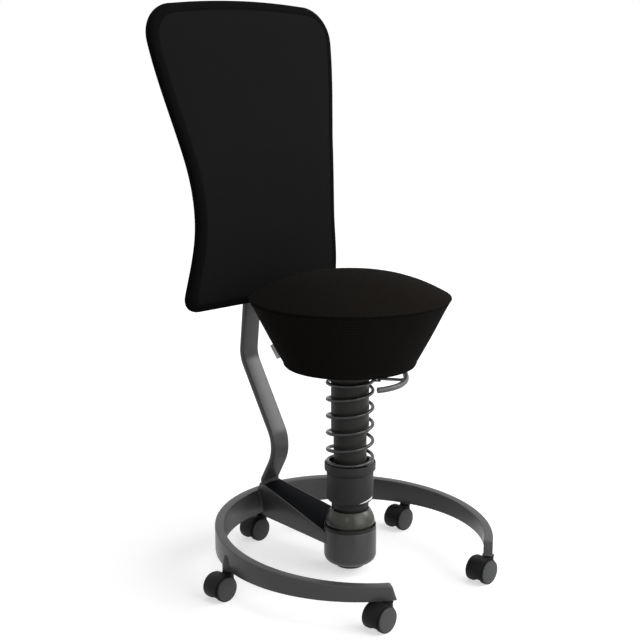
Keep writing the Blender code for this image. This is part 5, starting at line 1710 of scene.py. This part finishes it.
@dataclass
class Backrest(Assembly):
    """The waisted pad on its shell, the bent flat upright and its bolts."""

    bottom: float = 0.5285
    top: float = 1.1360
    top_crown: float = 0.008
    top_half: float = 0.2500
    widest: float = 1.120
    waist_half: float = 0.192
    waist: float = 0.715
    bottom_half: float = 0.2125
    top_corner: float = 0.075
    bottom_corner: float = 0.036
    lumbar_y: float = 0.2335
    lumbar: float = 0.700
    bend_above: float = 0.77
    bend_below: float = 0.75
    lean: float = 0.220
    thickness: float = 0.026
    edge: float = 0.0158
    back_roll: float = 0.010
    roll_power: float = 0.87
    corner_share: float = 0.293
    seam_depth: float = 0.0004
    shell_thickness: float = 0.010
    shell_inset: float = 0.012
    shell_offset: float = 0.0136
    shell_round: float = 0.0070
    shell_edge: float = 0.0006
    shell_groove: tuple[Pair, ...] = ((0.0160, 0.0), (0.0143, 0.0), (0.0134, 0.0009), (0.0114, 0.0009),
                                      (0.0105, 0.0))
    slack: float = 0.0010
    waves: tuple[Pair, ...] = ((7.0, 0.0008), (24.0, 0.0002))
    columns: int = 56
    rows: int = 84
    bar_width: float = 0.0465
    bar_thickness: float = 0.0115
    bar_edge: float = 0.0044
    bar_gap: float = 0.0003
    bar_foot: Pair = (0.2389, 0.1314)
    bar_rise: float = 0.010
    bar_knee: Pair = (0.1955, 0.2186)
    bar_heel: Pair = (0.3010, 0.4040)
    bar_shoulder: Pair = (0.2850, 0.5450)
    bar_head: Pair = (0.655, 0.775)
    bar_tip: tuple[Corner, ...] = ((1.0, 1.0, -0.0024), (0.985, 0.94, -0.0008), (0.95, 0.78, 0.0))
    bar_radii: tuple[float, ...] = (0.010, 0.074, 0.060, 0.060, 0.060)
    bolts: tuple[float, ...] = (0.680, 0.715, 0.750)
    bolt_radius: float = 0.0075
    bolt_height: float = 0.0045
    bolt_recess: float = 0.00342
    bolt_columns: int = 48

    def curve(self, height: float) -> float:
        """Give the pad's middle y at a height.

        Args:
            height: The height.

        Returns:
            The y.
        """
        rise = height - self.lumbar
        if rise < 0.0:
            return self.lumbar_y + self.bend_below * rise ** 2
        straight = self.lean / (2 * self.bend_above)
        if rise < straight:
            return self.lumbar_y + self.bend_above * rise ** 2
        return self.lumbar_y + self.bend_above * straight ** 2 + self.lean * (rise - straight)

    def half(self, height: float) -> float:
        """Give half the pad's width at a height, round at its corners.

        Args:
            height: The height.

        Returns:
            The half width.
        """
        if height > self.waist:
            share = (height - self.waist) / (self.widest - self.waist)
            half = between(self.waist_half, self.top_half, ease(share))
        else:
            share = (self.waist - height) / (self.waist - self.bottom)
            half = between(self.waist_half, self.bottom_half, ease(share))
        for limit, radius in ((self.top, self.top_corner), (self.bottom, self.bottom_corner)):
            into = radius - abs(limit - height)
            if into > 0.0:
                half -= radius - math.sqrt(max(radius ** 2 - into ** 2, 0.0))
        return half

    def flank(self, start: float, end: float) -> list[Pair]:
        """Give the outline's right side between two heights."""
        heights = [between(start, end, ease(step / 60)) for step in range(61)]
        return [(self.half(height), height) for height in heights]

    @staticmethod
    def even(line: Sequence[Pair], count: int) -> list[Pair]:
        """Space points evenly along a line.

        Args:
            line: The line's own points.
            count: Steps along it.

        Returns:
            The even points, all but the last.
        """
        runs = [0.0]
        for one, two in zip(line, line[1:]):
            runs.append(runs[-1] + math.dist(one, two))
        points = []
        index = 0
        for step in range(count):
            run = runs[-1] * step / count
            while runs[index + 1] < run:
                index += 1
            share = (run - runs[index]) / (runs[index + 1] - runs[index])
            one, two = line[index], line[index + 1]
            points.append((between(one[0], two[0], share), between(one[1], two[1], share)))
        return points

    def outline(self) -> list[Pair]:
        """Give the pad's outline in x and z, from its lower left corner's middle round by the right.

        Returns:
            The outline's points.
        """
        low = self.bottom + self.corner_share * self.bottom_corner
        high = self.top - self.corner_share * self.top_corner
        lower = self.flank(self.bottom, low)
        upright = self.flank(low, high)
        upper = self.flank(high, self.top)
        reach = self.half(self.top)
        crown = [(reach * (1 - step / 20), self.top + self.top_crown * (1 - (1 - step / 20) ** 2))
                 for step in range(1, 40)]
        runs = ((self.mirror(lower) + lower, self.columns), (upright, self.rows),
                (upper + crown + self.mirror(upper), self.columns), (self.mirror(upright), self.rows))
        return [point for run, count in runs for point in self.even(run, count)]

    @staticmethod
    def mirror(line: Sequence[Pair]) -> list[Pair]:
        """Give the left-hand copy of a line, in the other order."""
        return [(-x, z) for x, z in reversed(line)]

    @staticmethod
    def drawn_in(loop: Sequence[Pair], inset: float) -> list[Pair]:
        """Draw a closed loop in by a distance.

        Args:
            loop: The loop's points.
            inset: The distance.

        Returns:
            The new points.
        """
        points = []
        for index, (x, z) in enumerate(loop):
            before, after = loop[index - 1], loop[(index + 1) % len(loop)]
            along = Vector((after[0] - before[0], after[1] - before[1])).normalized()
            points.append((x - along.y * inset, z + along.x * inset))
        return points

    def border(self) -> list[Pair]:
        """Give the border's inset and depth, from the back panel over the roll to the front's seam.

        Returns:
            Each row's inset and depth.
        """
        full = self.thickness / 2 - self.slack
        line = []
        for width, side in ((self.back_roll, 1.0), (self.edge, -1.0)):
            roll = []
            for step in range(1, 13):
                turn = math.pi / 2 * step / 12
                roll.append((width * (1 - math.cos(turn) ** self.roll_power),
                             side * full * math.sin(turn) ** self.roll_power))
            line += roll[::-1] + [(0.0, 0.0)] if side > 0.0 else roll
        seam = ((0.0008, self.seam_depth), (0.0016, self.seam_depth * 0.8), (0.0028, 0.0))
        return line + [(self.edge + step, sunk - full) for step, sunk in seam]

    def panel(self, sketch: Sketch, row: Sequence[bmesh.types.BMVert], depth: float) -> None:
        """Fill a loop of the border with an even grid.

        Args:
            sketch: The pad's sketch.
            row: The loop's points, in the outline's order.
            depth: How far the panel lies behind the pad's middle.
        """
        wide, tall = self.columns, self.rows
        ring = [*row, row[0]]
        bottom, right = ring[:wide + 1], ring[wide:wide + tall + 1]
        top, left = ring[wide + tall:2 * wide + tall + 1][::-1], ring[2 * wide + tall:][::-1]
        grid = []
        for j in range(tall + 1):
            v = j / tall
            line = []
            for i in range(wide + 1):
                u = i / wide
                if j in (0, tall):
                    line.append(top[i] if j else bottom[i])
                    continue
                if i in (0, wide):
                    line.append(right[j] if i else left[j])
                    continue
                spot = bottom[i].co * (1 - v) + top[i].co * v + left[j].co * (1 - u) + right[j].co * u
                spot -= (bottom[0].co * (1 - u) + bottom[-1].co * u) * (1 - v)
                spot -= (top[0].co * (1 - u) + top[-1].co * u) * v
                line.append(sketch.work.verts.new((spot.x, self.curve(spot.z) + depth, spot.z)))
            grid.append(line)
        for one, two in zip(grid, grid[1:]):
            for i in range(wide):
                sketch.work.faces.new((one[i], one[i + 1], two[i + 1], two[i]))

    def skin(self, border: Sequence[Pair]) -> tuple[Sketch, list[bmesh.types.BMVert]]:
        """Sew a border's rows together and fill its back.

        Args:
            border: Inset and depth of each row, from the back panel to the front panel.

        Returns:
            The sketch, and its last row, which the front panel fills.
        """
        sketch = Sketch()
        outline = self.outline()
        loops = [[Vector((x, self.curve(z) + depth, z)) for x, z in self.drawn_in(outline, inset)]
                 for inset, depth in border]
        rows = sketch.loft(loops, False)
        self.panel(sketch, rows[0], border[0][1])
        return sketch, rows[-1]

    def pad_mesh(self) -> bpy.types.Mesh:
        """Sew the pad's front and back panels to its rolled border.

        Returns:
            The mesh.
        """
        border = self.border()
        sketch, seam = self.skin(border)
        # The border and back panel take the second finish, which is darker as painted shade on the rolled
        # border
        for face in sketch.work.faces:
            face.material_index = 1
        self.panel(sketch, seam, border[-1][1])
        sketch.flatten(lambda point, middle, normal: (point.x + point.y * normal.x, point.z * 1.02))
        return sketch.mesh("back_cushion", 75.0)

    def held(self, point: Vector) -> bool:
        """Say whether a point of the pad is sewn into its border or lies on the shell."""
        return point.y > self.curve(point.z) - self.thickness / 2 + self.slack + 0.0002

    def soften(self, piece: bpy.types.Object) -> None:
        """Give the filled pad small uneven lumps.

        Args:
            piece: The filled pad.
        """
        for vertex in piece.data.vertices:
            if vertex.co.y < self.curve(vertex.co.z):
                vertex.co.y += lumps(vertex.co, self.waves)

    def shell_mesh(self) -> bpy.types.Mesh:
        """Mould the shell with a rounded border and a shallow groove round its back.

        Returns:
            The mesh.
        """
        inset, near = self.shell_inset, self.shell_offset
        full = near + self.shell_thickness
        border = [(inset + step, full - sunk) for step, sunk in self.shell_groove]
        for step in range(9):
            turn = math.pi / 2 * step / 8
            border.append((inset + self.shell_round * (1 - math.sin(turn)),
                           full - self.shell_round * (1 - math.cos(turn))))
        border += [(inset, near + self.shell_edge), (inset + self.shell_edge, near)]
        sketch, edge = self.skin(border)
        self.panel(sketch, edge, near)
        return sketch.mesh("back_shell_moulding", 50.0)

    def bar_seat(self) -> list[Pair]:
        """Give the y and z of the ends of the bar's straight head, behind the shell."""
        behind = self.shell_offset + self.shell_thickness + self.bar_gap + self.bar_thickness / 2
        return [(self.curve(height) + behind, height) for height in self.bar_head]

    def bar_line(self) -> list[Pair]:
        """Give the upright's centre line in y and z, from the arm's heel to the shell.

        Returns:
            The line's points.
        """
        foot = self.bar_foot
        knees = [foot, (foot[0], foot[1] + self.bar_rise), self.bar_knee, self.bar_heel, self.bar_shoulder]
        knees += self.bar_seat()
        radii = (0.0, *self.bar_radii, 0.0)
        return rounded([(y, z, radius) for (y, z), radius in zip(knees, radii)], 18)

    def bar_mesh(self) -> bpy.types.Mesh:
        """Bend the flat bar with rounded edges.

        Returns:
            The mesh.
        """
        half, deep, edge = self.bar_width / 2, self.bar_thickness / 2, self.bar_edge
        section = rounded(((-half, -deep, edge), (half, -deep, edge), (half, deep, edge),
                           (-half, deep, edge)), 4, True)
        line = [Vector(point) for point in self.bar_line()]
        loops = []
        for index, point in enumerate(line):
            before, after = line[max(index - 1, 0)], line[min(index + 1, len(line) - 1)]
            way = (after - before).normalized()
            across = Vector((way.y, -way.x))
            # The upper end's edges are rounded by its last loops
            for wide, thick, shift in self.bar_tip if index == len(line) - 1 else ((1.0, 1.0, 0.0),):
                spot = point + way * shift
                loops.append([Vector((x * wide, spot.x + across.x * depth * thick,
                                      spot.y + across.y * depth * thick)) for x, depth in section])
        sketch = Sketch()
        sketch.loft(loops)
        return sketch.mesh("flat_upright", 45.0)

    def bolt_place(self, height: float) -> Matrix:
        """Give a bolt's seat on the bar's back, with its Z out of the bar.

        Args:
            height: The height.

        Returns:
            The seat's frame.
        """
        low, high = (Vector(end) for end in self.bar_seat())
        share = (height - low.y) / (high.y - low.y)
        tilt = math.atan2(high.x - low.x, high.y - low.y)
        place = Matrix.Translation((0.0, between(low.x, high.x, share), height))
        place = place @ Matrix.Rotation(-math.pi / 2 - tilt, 4, "X")
        return place @ Matrix.Translation((0.0, 0.0, self.bar_thickness / 2))

    def bolt_mesh(self) -> bpy.types.Mesh:
        """Turn a button head with a six-sided recess.

        Returns:
            The mesh.
        """
        sketch = Sketch()
        button = ((1.0, 0.0), (1.0, 0.30), (0.97, 0.45), (0.88, 0.70), (0.74, 0.90), (0.62, 1.0))
        recess = ((0.0, 1.0), (0.0, 0.35))
        rings = []
        for share, rise in button + recess:
            ring = []
            for step in range(self.bolt_columns):
                angle = 2 * math.pi * step / self.bolt_columns
                side = (angle + math.pi / 6) % (math.pi / 3) - math.pi / 6
                radius = self.bolt_radius * share or self.bolt_recess / math.cos(side)
                ring.append(polar(radius, angle, self.bolt_height * rise))
            rings.append(ring)
        sketch.loft(rings)
        return sketch.mesh("upright_bolt", 30.0)

    def build(self) -> None:
        """Make the pad, shell, upright and bolts."""
        mesh = self.pad_mesh()
        # The second finish is the border cloth, darkened as painted shade
        for finish in ("cloth_back", "cloth_band_painted_shade"):
            mesh.materials.append(self.shop.finishes[finish])
        piece = self.shop.piece("back_cushion", mesh, "cloth_back", "base", ["back_pad"])
        AirFill(pressure=3.0, cap=0.0022).settle(piece, self.held)
        self.soften(piece)
        self.shop.piece("back_moulding", self.shell_mesh(), "plastic_shell", "base", ["back_shell"])
        self.shop.piece("flat_upright", self.bar_mesh(), "coat_graphite", "base", ["back_upright"])
        head = self.bolt_mesh()
        for number, height in enumerate(self.bolts, 1):
            self.shop.piece(f"upright_bolt_{number}", head, "steel_black", "base",
                            [f"back_bolt_{number}"], self.bolt_place(height))


@dataclass
class Castors(Assembly):
    """Five twin-wheel castors under the ring."""

    ring: BaseRing
    angles: tuple[tuple[str, float], ...] = (("front_right", -34.0), ("front_left", 34.0),
                                             ("side_right", -109.0), ("side_left", 109.0), ("back", 180.0))
    bossed: tuple[str, ...] = ("side_right", "side_left", "back")
    boss_offset: float = -0.0045
    trail: float = 0.0215
    wheel_radius: float = 0.025
    wheel_width: float = 0.0125
    wheel_inner: float = 0.0106
    hood_inner: float = 0.0256
    hood_outer: float = 0.0270
    hood_arc: Pair = (8.0, 205.0)
    hood_width: float = 0.034
    web_width: float = 0.020
    web_half: float = 0.006
    web_drop: float = 0.009
    neck_radius: float = 0.0118
    neck_low: float = 0.0300
    neck_top: float = 0.0510
    axle_bore: float = 0.0034
    wheel_steps: int = 72
    hood_steps: int = 56
    web_steps: int = 40
    web_edge: float = 0.0008
    neck_steps: int = 48

    def place(self, name: str, angle: float) -> Pair:
        """Give where a castor's stem stands.

        Args:
            name: The castor's name.
            angle: Its angle from the front in degrees.

        Returns:
            The stem's x and y.
        """
        radius = self.ring.mid_radius
        if name in self.bossed:
            radius += self.ring.width / 2 + self.boss_offset
        turn = math.radians(angle)
        return radius * math.sin(turn), self.ring.centre_y - radius * math.cos(turn)

    def boss_places(self) -> list[Pair]:
        """Give where the ring's bosses stand."""
        return [self.place(name, angle) for name, angle in self.angles if name in self.bossed]

    def wheel_mesh(self) -> bpy.types.Mesh:
        """Turn a wheel with a dished disc, a raised cap and a rounded tread.

        Returns:
            The mesh.
        """
        wide, full = self.wheel_radius, self.wheel_width
        disc = ((0.0, full - 0.0002, 0.0), (0.0120, full - 0.0004, 0.0100),
                (0.0215, full - 0.0010, 0.0020), (0.0232, full - 0.0017, 0.0006),
                (0.0234, full - 0.0026, 0.0002))
        tread = ((0.0238, full - 0.0026, 0.0002), (0.0241, full - 0.0016, 0.0003),
                 (wide - 0.0004, full - 0.0018, 0.0003), (wide, full - 0.0032, 0.0012),
                 (wide, 0.0016, 0.0010), (wide - 0.0014, 0.0, 0.0008))
        bore, deep = self.axle_bore, full - 0.004
        hub = ((bore, 0.0, 0.0003), (bore, deep, 0.0), (0.0, deep, 0.0))
        sketch = Sketch()
        sketch.lathe(rounded(disc + tread + hub, 4), self.wheel_steps)
        return sketch.mesh("castor_wheel", 32.0)

    def about_axle(self, radius: float, turn: float) -> Pair:
        """Give the x and z of a point at a radius and an angle about the axle."""
        return radius * math.cos(turn) - self.trail, radius * math.sin(turn) + self.wheel_radius

    def hood_mesh(self) -> bpy.types.Mesh:
        """Mould a hood: a canopy over the wheels, a web between them and a neck round the stem.

        Returns:
            The mesh.
        """
        sketch = Sketch()
        half = self.hood_width / 2
        section = rounded(((-half, self.hood_inner, 0.0003), (half, self.hood_inner, 0.0003),
                           (half, self.hood_outer, 0.0008), (-half, self.hood_outer, 0.0008)), 3, True)
        loops = []
        for step in range(self.hood_steps + 1):
            turn = math.radians(between(*self.hood_arc, step / self.hood_steps))
            places = [(y, *self.about_axle(radius, turn)) for y, radius in section]
            loops.append([Vector((x, y, z)) for y, x, z in places])
        sketch.loft(loops)
        turns = [math.radians(between(*self.hood_arc, step / self.web_steps))
                 for step in range(self.web_steps + 1)]
        outline = [self.about_axle(self.hood_inner + 0.0004, turn) for turn in turns]
        outline += [(-self.web_half - self.trail, self.wheel_radius - self.web_drop),
                    (self.web_half - self.trail, self.wheel_radius - self.web_drop)]
        middle = (-self.trail, self.wheel_radius)
        web = []
        side = self.web_width / 2
        edge = self.web_edge
        for y, share in ((-side, 0.96), (edge - side, 1.0), (side - edge, 1.0), (side, 0.96)):
            web.append([Vector((between(middle[0], x, share), y, between(middle[1], z, share)))
                        for x, z in outline])
        sketch.loft(web)
        sketch.loft(self.neck_loops())
        return sketch.mesh("castor_hood", 40.0)

    def neck_loops(self) -> list[list[Vector]]:
        """Give the neck round the stem, from its collar down to the canopy that it grows out of.

        Returns:
            The neck's loops.
        """
        canopy = (self.hood_inner + self.hood_outer) / 2
        loops = []
        for inset, drop in ((0.0030, 0.0), (0.0008, 0.0), (0.0002, 0.0002), (0.0, 0.0008), (0.0, 0.0022),
                            (0.0006, 0.0026), (0.0008, 1.0)):
            loop = []
            radius = self.neck_radius - inset
            for step in range(self.neck_steps):
                turn = 2 * math.pi * step / self.neck_steps
                x, y = radius * math.cos(turn), radius * math.sin(turn)
                over = canopy ** 2 - (x + self.trail) ** 2
                low = self.wheel_radius + math.sqrt(over) if over > 0.0 else self.neck_low
                loop.append(Vector((x, y, max(self.neck_top - drop, low, self.neck_low))))
            loops.append(loop)
        return loops

    def build(self) -> None:
        """Set five castors under the ring, each on its own swivel and axle."""
        wheel, hood = self.wheel_mesh(), self.hood_mesh()
        for name, angle in self.angles:
            x, y = self.place(name, angle)
            body = f"castor_{name}"
            self.shop.piece(f"{body}_cover", hood, "plastic_castor", body, [f"{body}_hood"],
                            Matrix.Translation((x, y, 0.0)))
            for label, side in (("wheel_a", -1.0), ("wheel_b", 1.0)):
                spot = Matrix.Translation((x - self.trail, y + side * self.wheel_inner, self.wheel_radius))
                self.shop.piece(f"{body}_{label}_tread", wheel, "castor_wheel", f"{body}_{label}",
                                [f"{body}_{label}"], spot @ Matrix.Rotation(-side * math.pi / 2, 4, "X"))
            self.shop.dress("steel_turned", f"{body}_stem", f"{body}_axle")


@dataclass(frozen=True)
class Lamp:
    """A square studio lamp: where it hangs, what it faces, its side in metres and its power in watts."""

    name: str
    place: Corner
    aim: Corner
    size: float
    power: float

    def hang(self) -> None:
        """Hang the lamp."""
        data = bpy.data.lights.new(self.name, "AREA")
        data.size = self.size
        data.energy = self.power
        lamp = bpy.data.objects.new(self.name, data)
        lamp.location = self.place
        lamp.rotation_euler = (Vector(self.aim) - Vector(self.place)).to_track_quat("-Z", "Y").to_euler()
        bpy.context.scene.collection.objects.link(lamp)


@dataclass
class Studio:
    """The pale floor, the soft lamps and the camera."""

    camera_place: Vector = Vector((-1.8187, -1.7158, 1.0423))
    camera_way: Vector = Vector((0.71216, 0.67185, -0.20361))
    sensor: float = 36.0
    lens: float = 72.56
    shift: Pair = (-0.0470, 0.0)
    floor_size: float = 40.0
    floor_white: float = 0.62
    floor_bounce: float = 0.48
    floor_lift: Pair = (0.58, 0.86)
    floor_reach: Pair = (0.5, 2.4)
    floor_mottle: float = 0.02
    world_level: float = 0.23
    lamps: tuple[Lamp, ...] = (
        Lamp("lamp_top", (0.5, -0.3, 3.6), (0.0, 0.0, 0.4), 3.0, 53.0),
        Lamp("lamp_front", (0.4, -4.0, 2.0), (0.0, 0.0, 0.5), 3.4, 112.0),
        Lamp("lamp_right", (2.99, -1.93, 2.30), (0.0, 0.1, 0.4), 1.8, 78.0),
        Lamp("lamp_left", (-2.9, -1.5, 2.1), (0.0, 0.0, 0.2), 0.36, 6.5),
    )

    def floor(self) -> None:
        """Lay a white floor that keeps the stool's shadow and stays white to the horizon."""
        sketch = Sketch()
        half = self.floor_size / 2
        sketch.work.faces.new([sketch.work.verts.new((x * half, y * half, 0.0))
                               for x, y in ((-1, -1), (1, -1), (1, 1), (-1, 1))])
        shader = Shader(bpy.data.materials.new("studio_floor"))
        where = shader.place()
        along, across, _ = shader.parts(where)
        shown = shader.shown()
        away = (along * along + across * across) ** 0.5
        lift = shader.span(away, *self.floor_reach, *self.floor_lift) * shown
        mottle = shader.cloud(where, 3.0) * self.floor_mottle
        tone = shader.mix(shown * (1 - mottle), grey(self.floor_bounce), grey(self.floor_white))
        glow = shader.mix(lift, grey(0.0), WHITE)
        shader.set(Base_Color=tone, Roughness=0.9, Specular_IOR_Level=0.0, Emission_Color=glow,
                   Emission_Strength=1.0)
        mesh = sketch.mesh("studio_floor")
        mesh.materials.append(shader.owner)
        piece = bpy.data.objects.new("studio_floor", mesh)
        bpy.context.scene.collection.objects.link(piece)

    def world(self) -> None:
        """Fill the studio with soft light and show it as white."""
        world = bpy.data.worlds.new("studio")
        shader = Shader(world, "Background")
        shader.set(Color=shader.mix(shader.shown(), grey(self.world_level), WHITE), Strength=1.0)
        bpy.context.scene.world = world

    def camera(self) -> None:
        """Set the camera at the photograph's viewing angle."""
        data = bpy.data.cameras.new("studio_camera")
        data.sensor_width = self.sensor
        data.sensor_fit = "HORIZONTAL"
        data.lens = self.lens
        data.shift_x, data.shift_y = self.shift
        camera = bpy.data.objects.new("studio_camera", data)
        camera.location = self.camera_place
        camera.rotation_euler = self.camera_way.to_track_quat("-Z", "Y").to_euler()
        bpy.context.scene.collection.objects.link(camera)
        bpy.context.scene.camera = camera

    def build(self) -> None:
        """Light the studio and set the camera."""
        bpy.context.scene.view_settings.view_transform = "Standard"
        self.camera()
        self.world()
        self.floor()
        for lamp in self.lamps:
            lamp.hang()


def main() -> None:
    """Build the studio and the stool from the floor up."""
    logging.basicConfig(level=logging.INFO, format="%(name)s: %(message)s")
    Studio().build()
    shop = Workshop()
    ring = BaseRing(shop)
    castors = Castors(shop, ring)
    ring.build(castors.boss_places())
    castors.build()
    for assembly in (BaseArm, TiltBearing, Column, WoundSpring, Seat, HeightLever, Backrest):
        assembly(shop).build()
    LOG.info("%d pieces", shop.count)


if __name__ == "__main__":
    main()
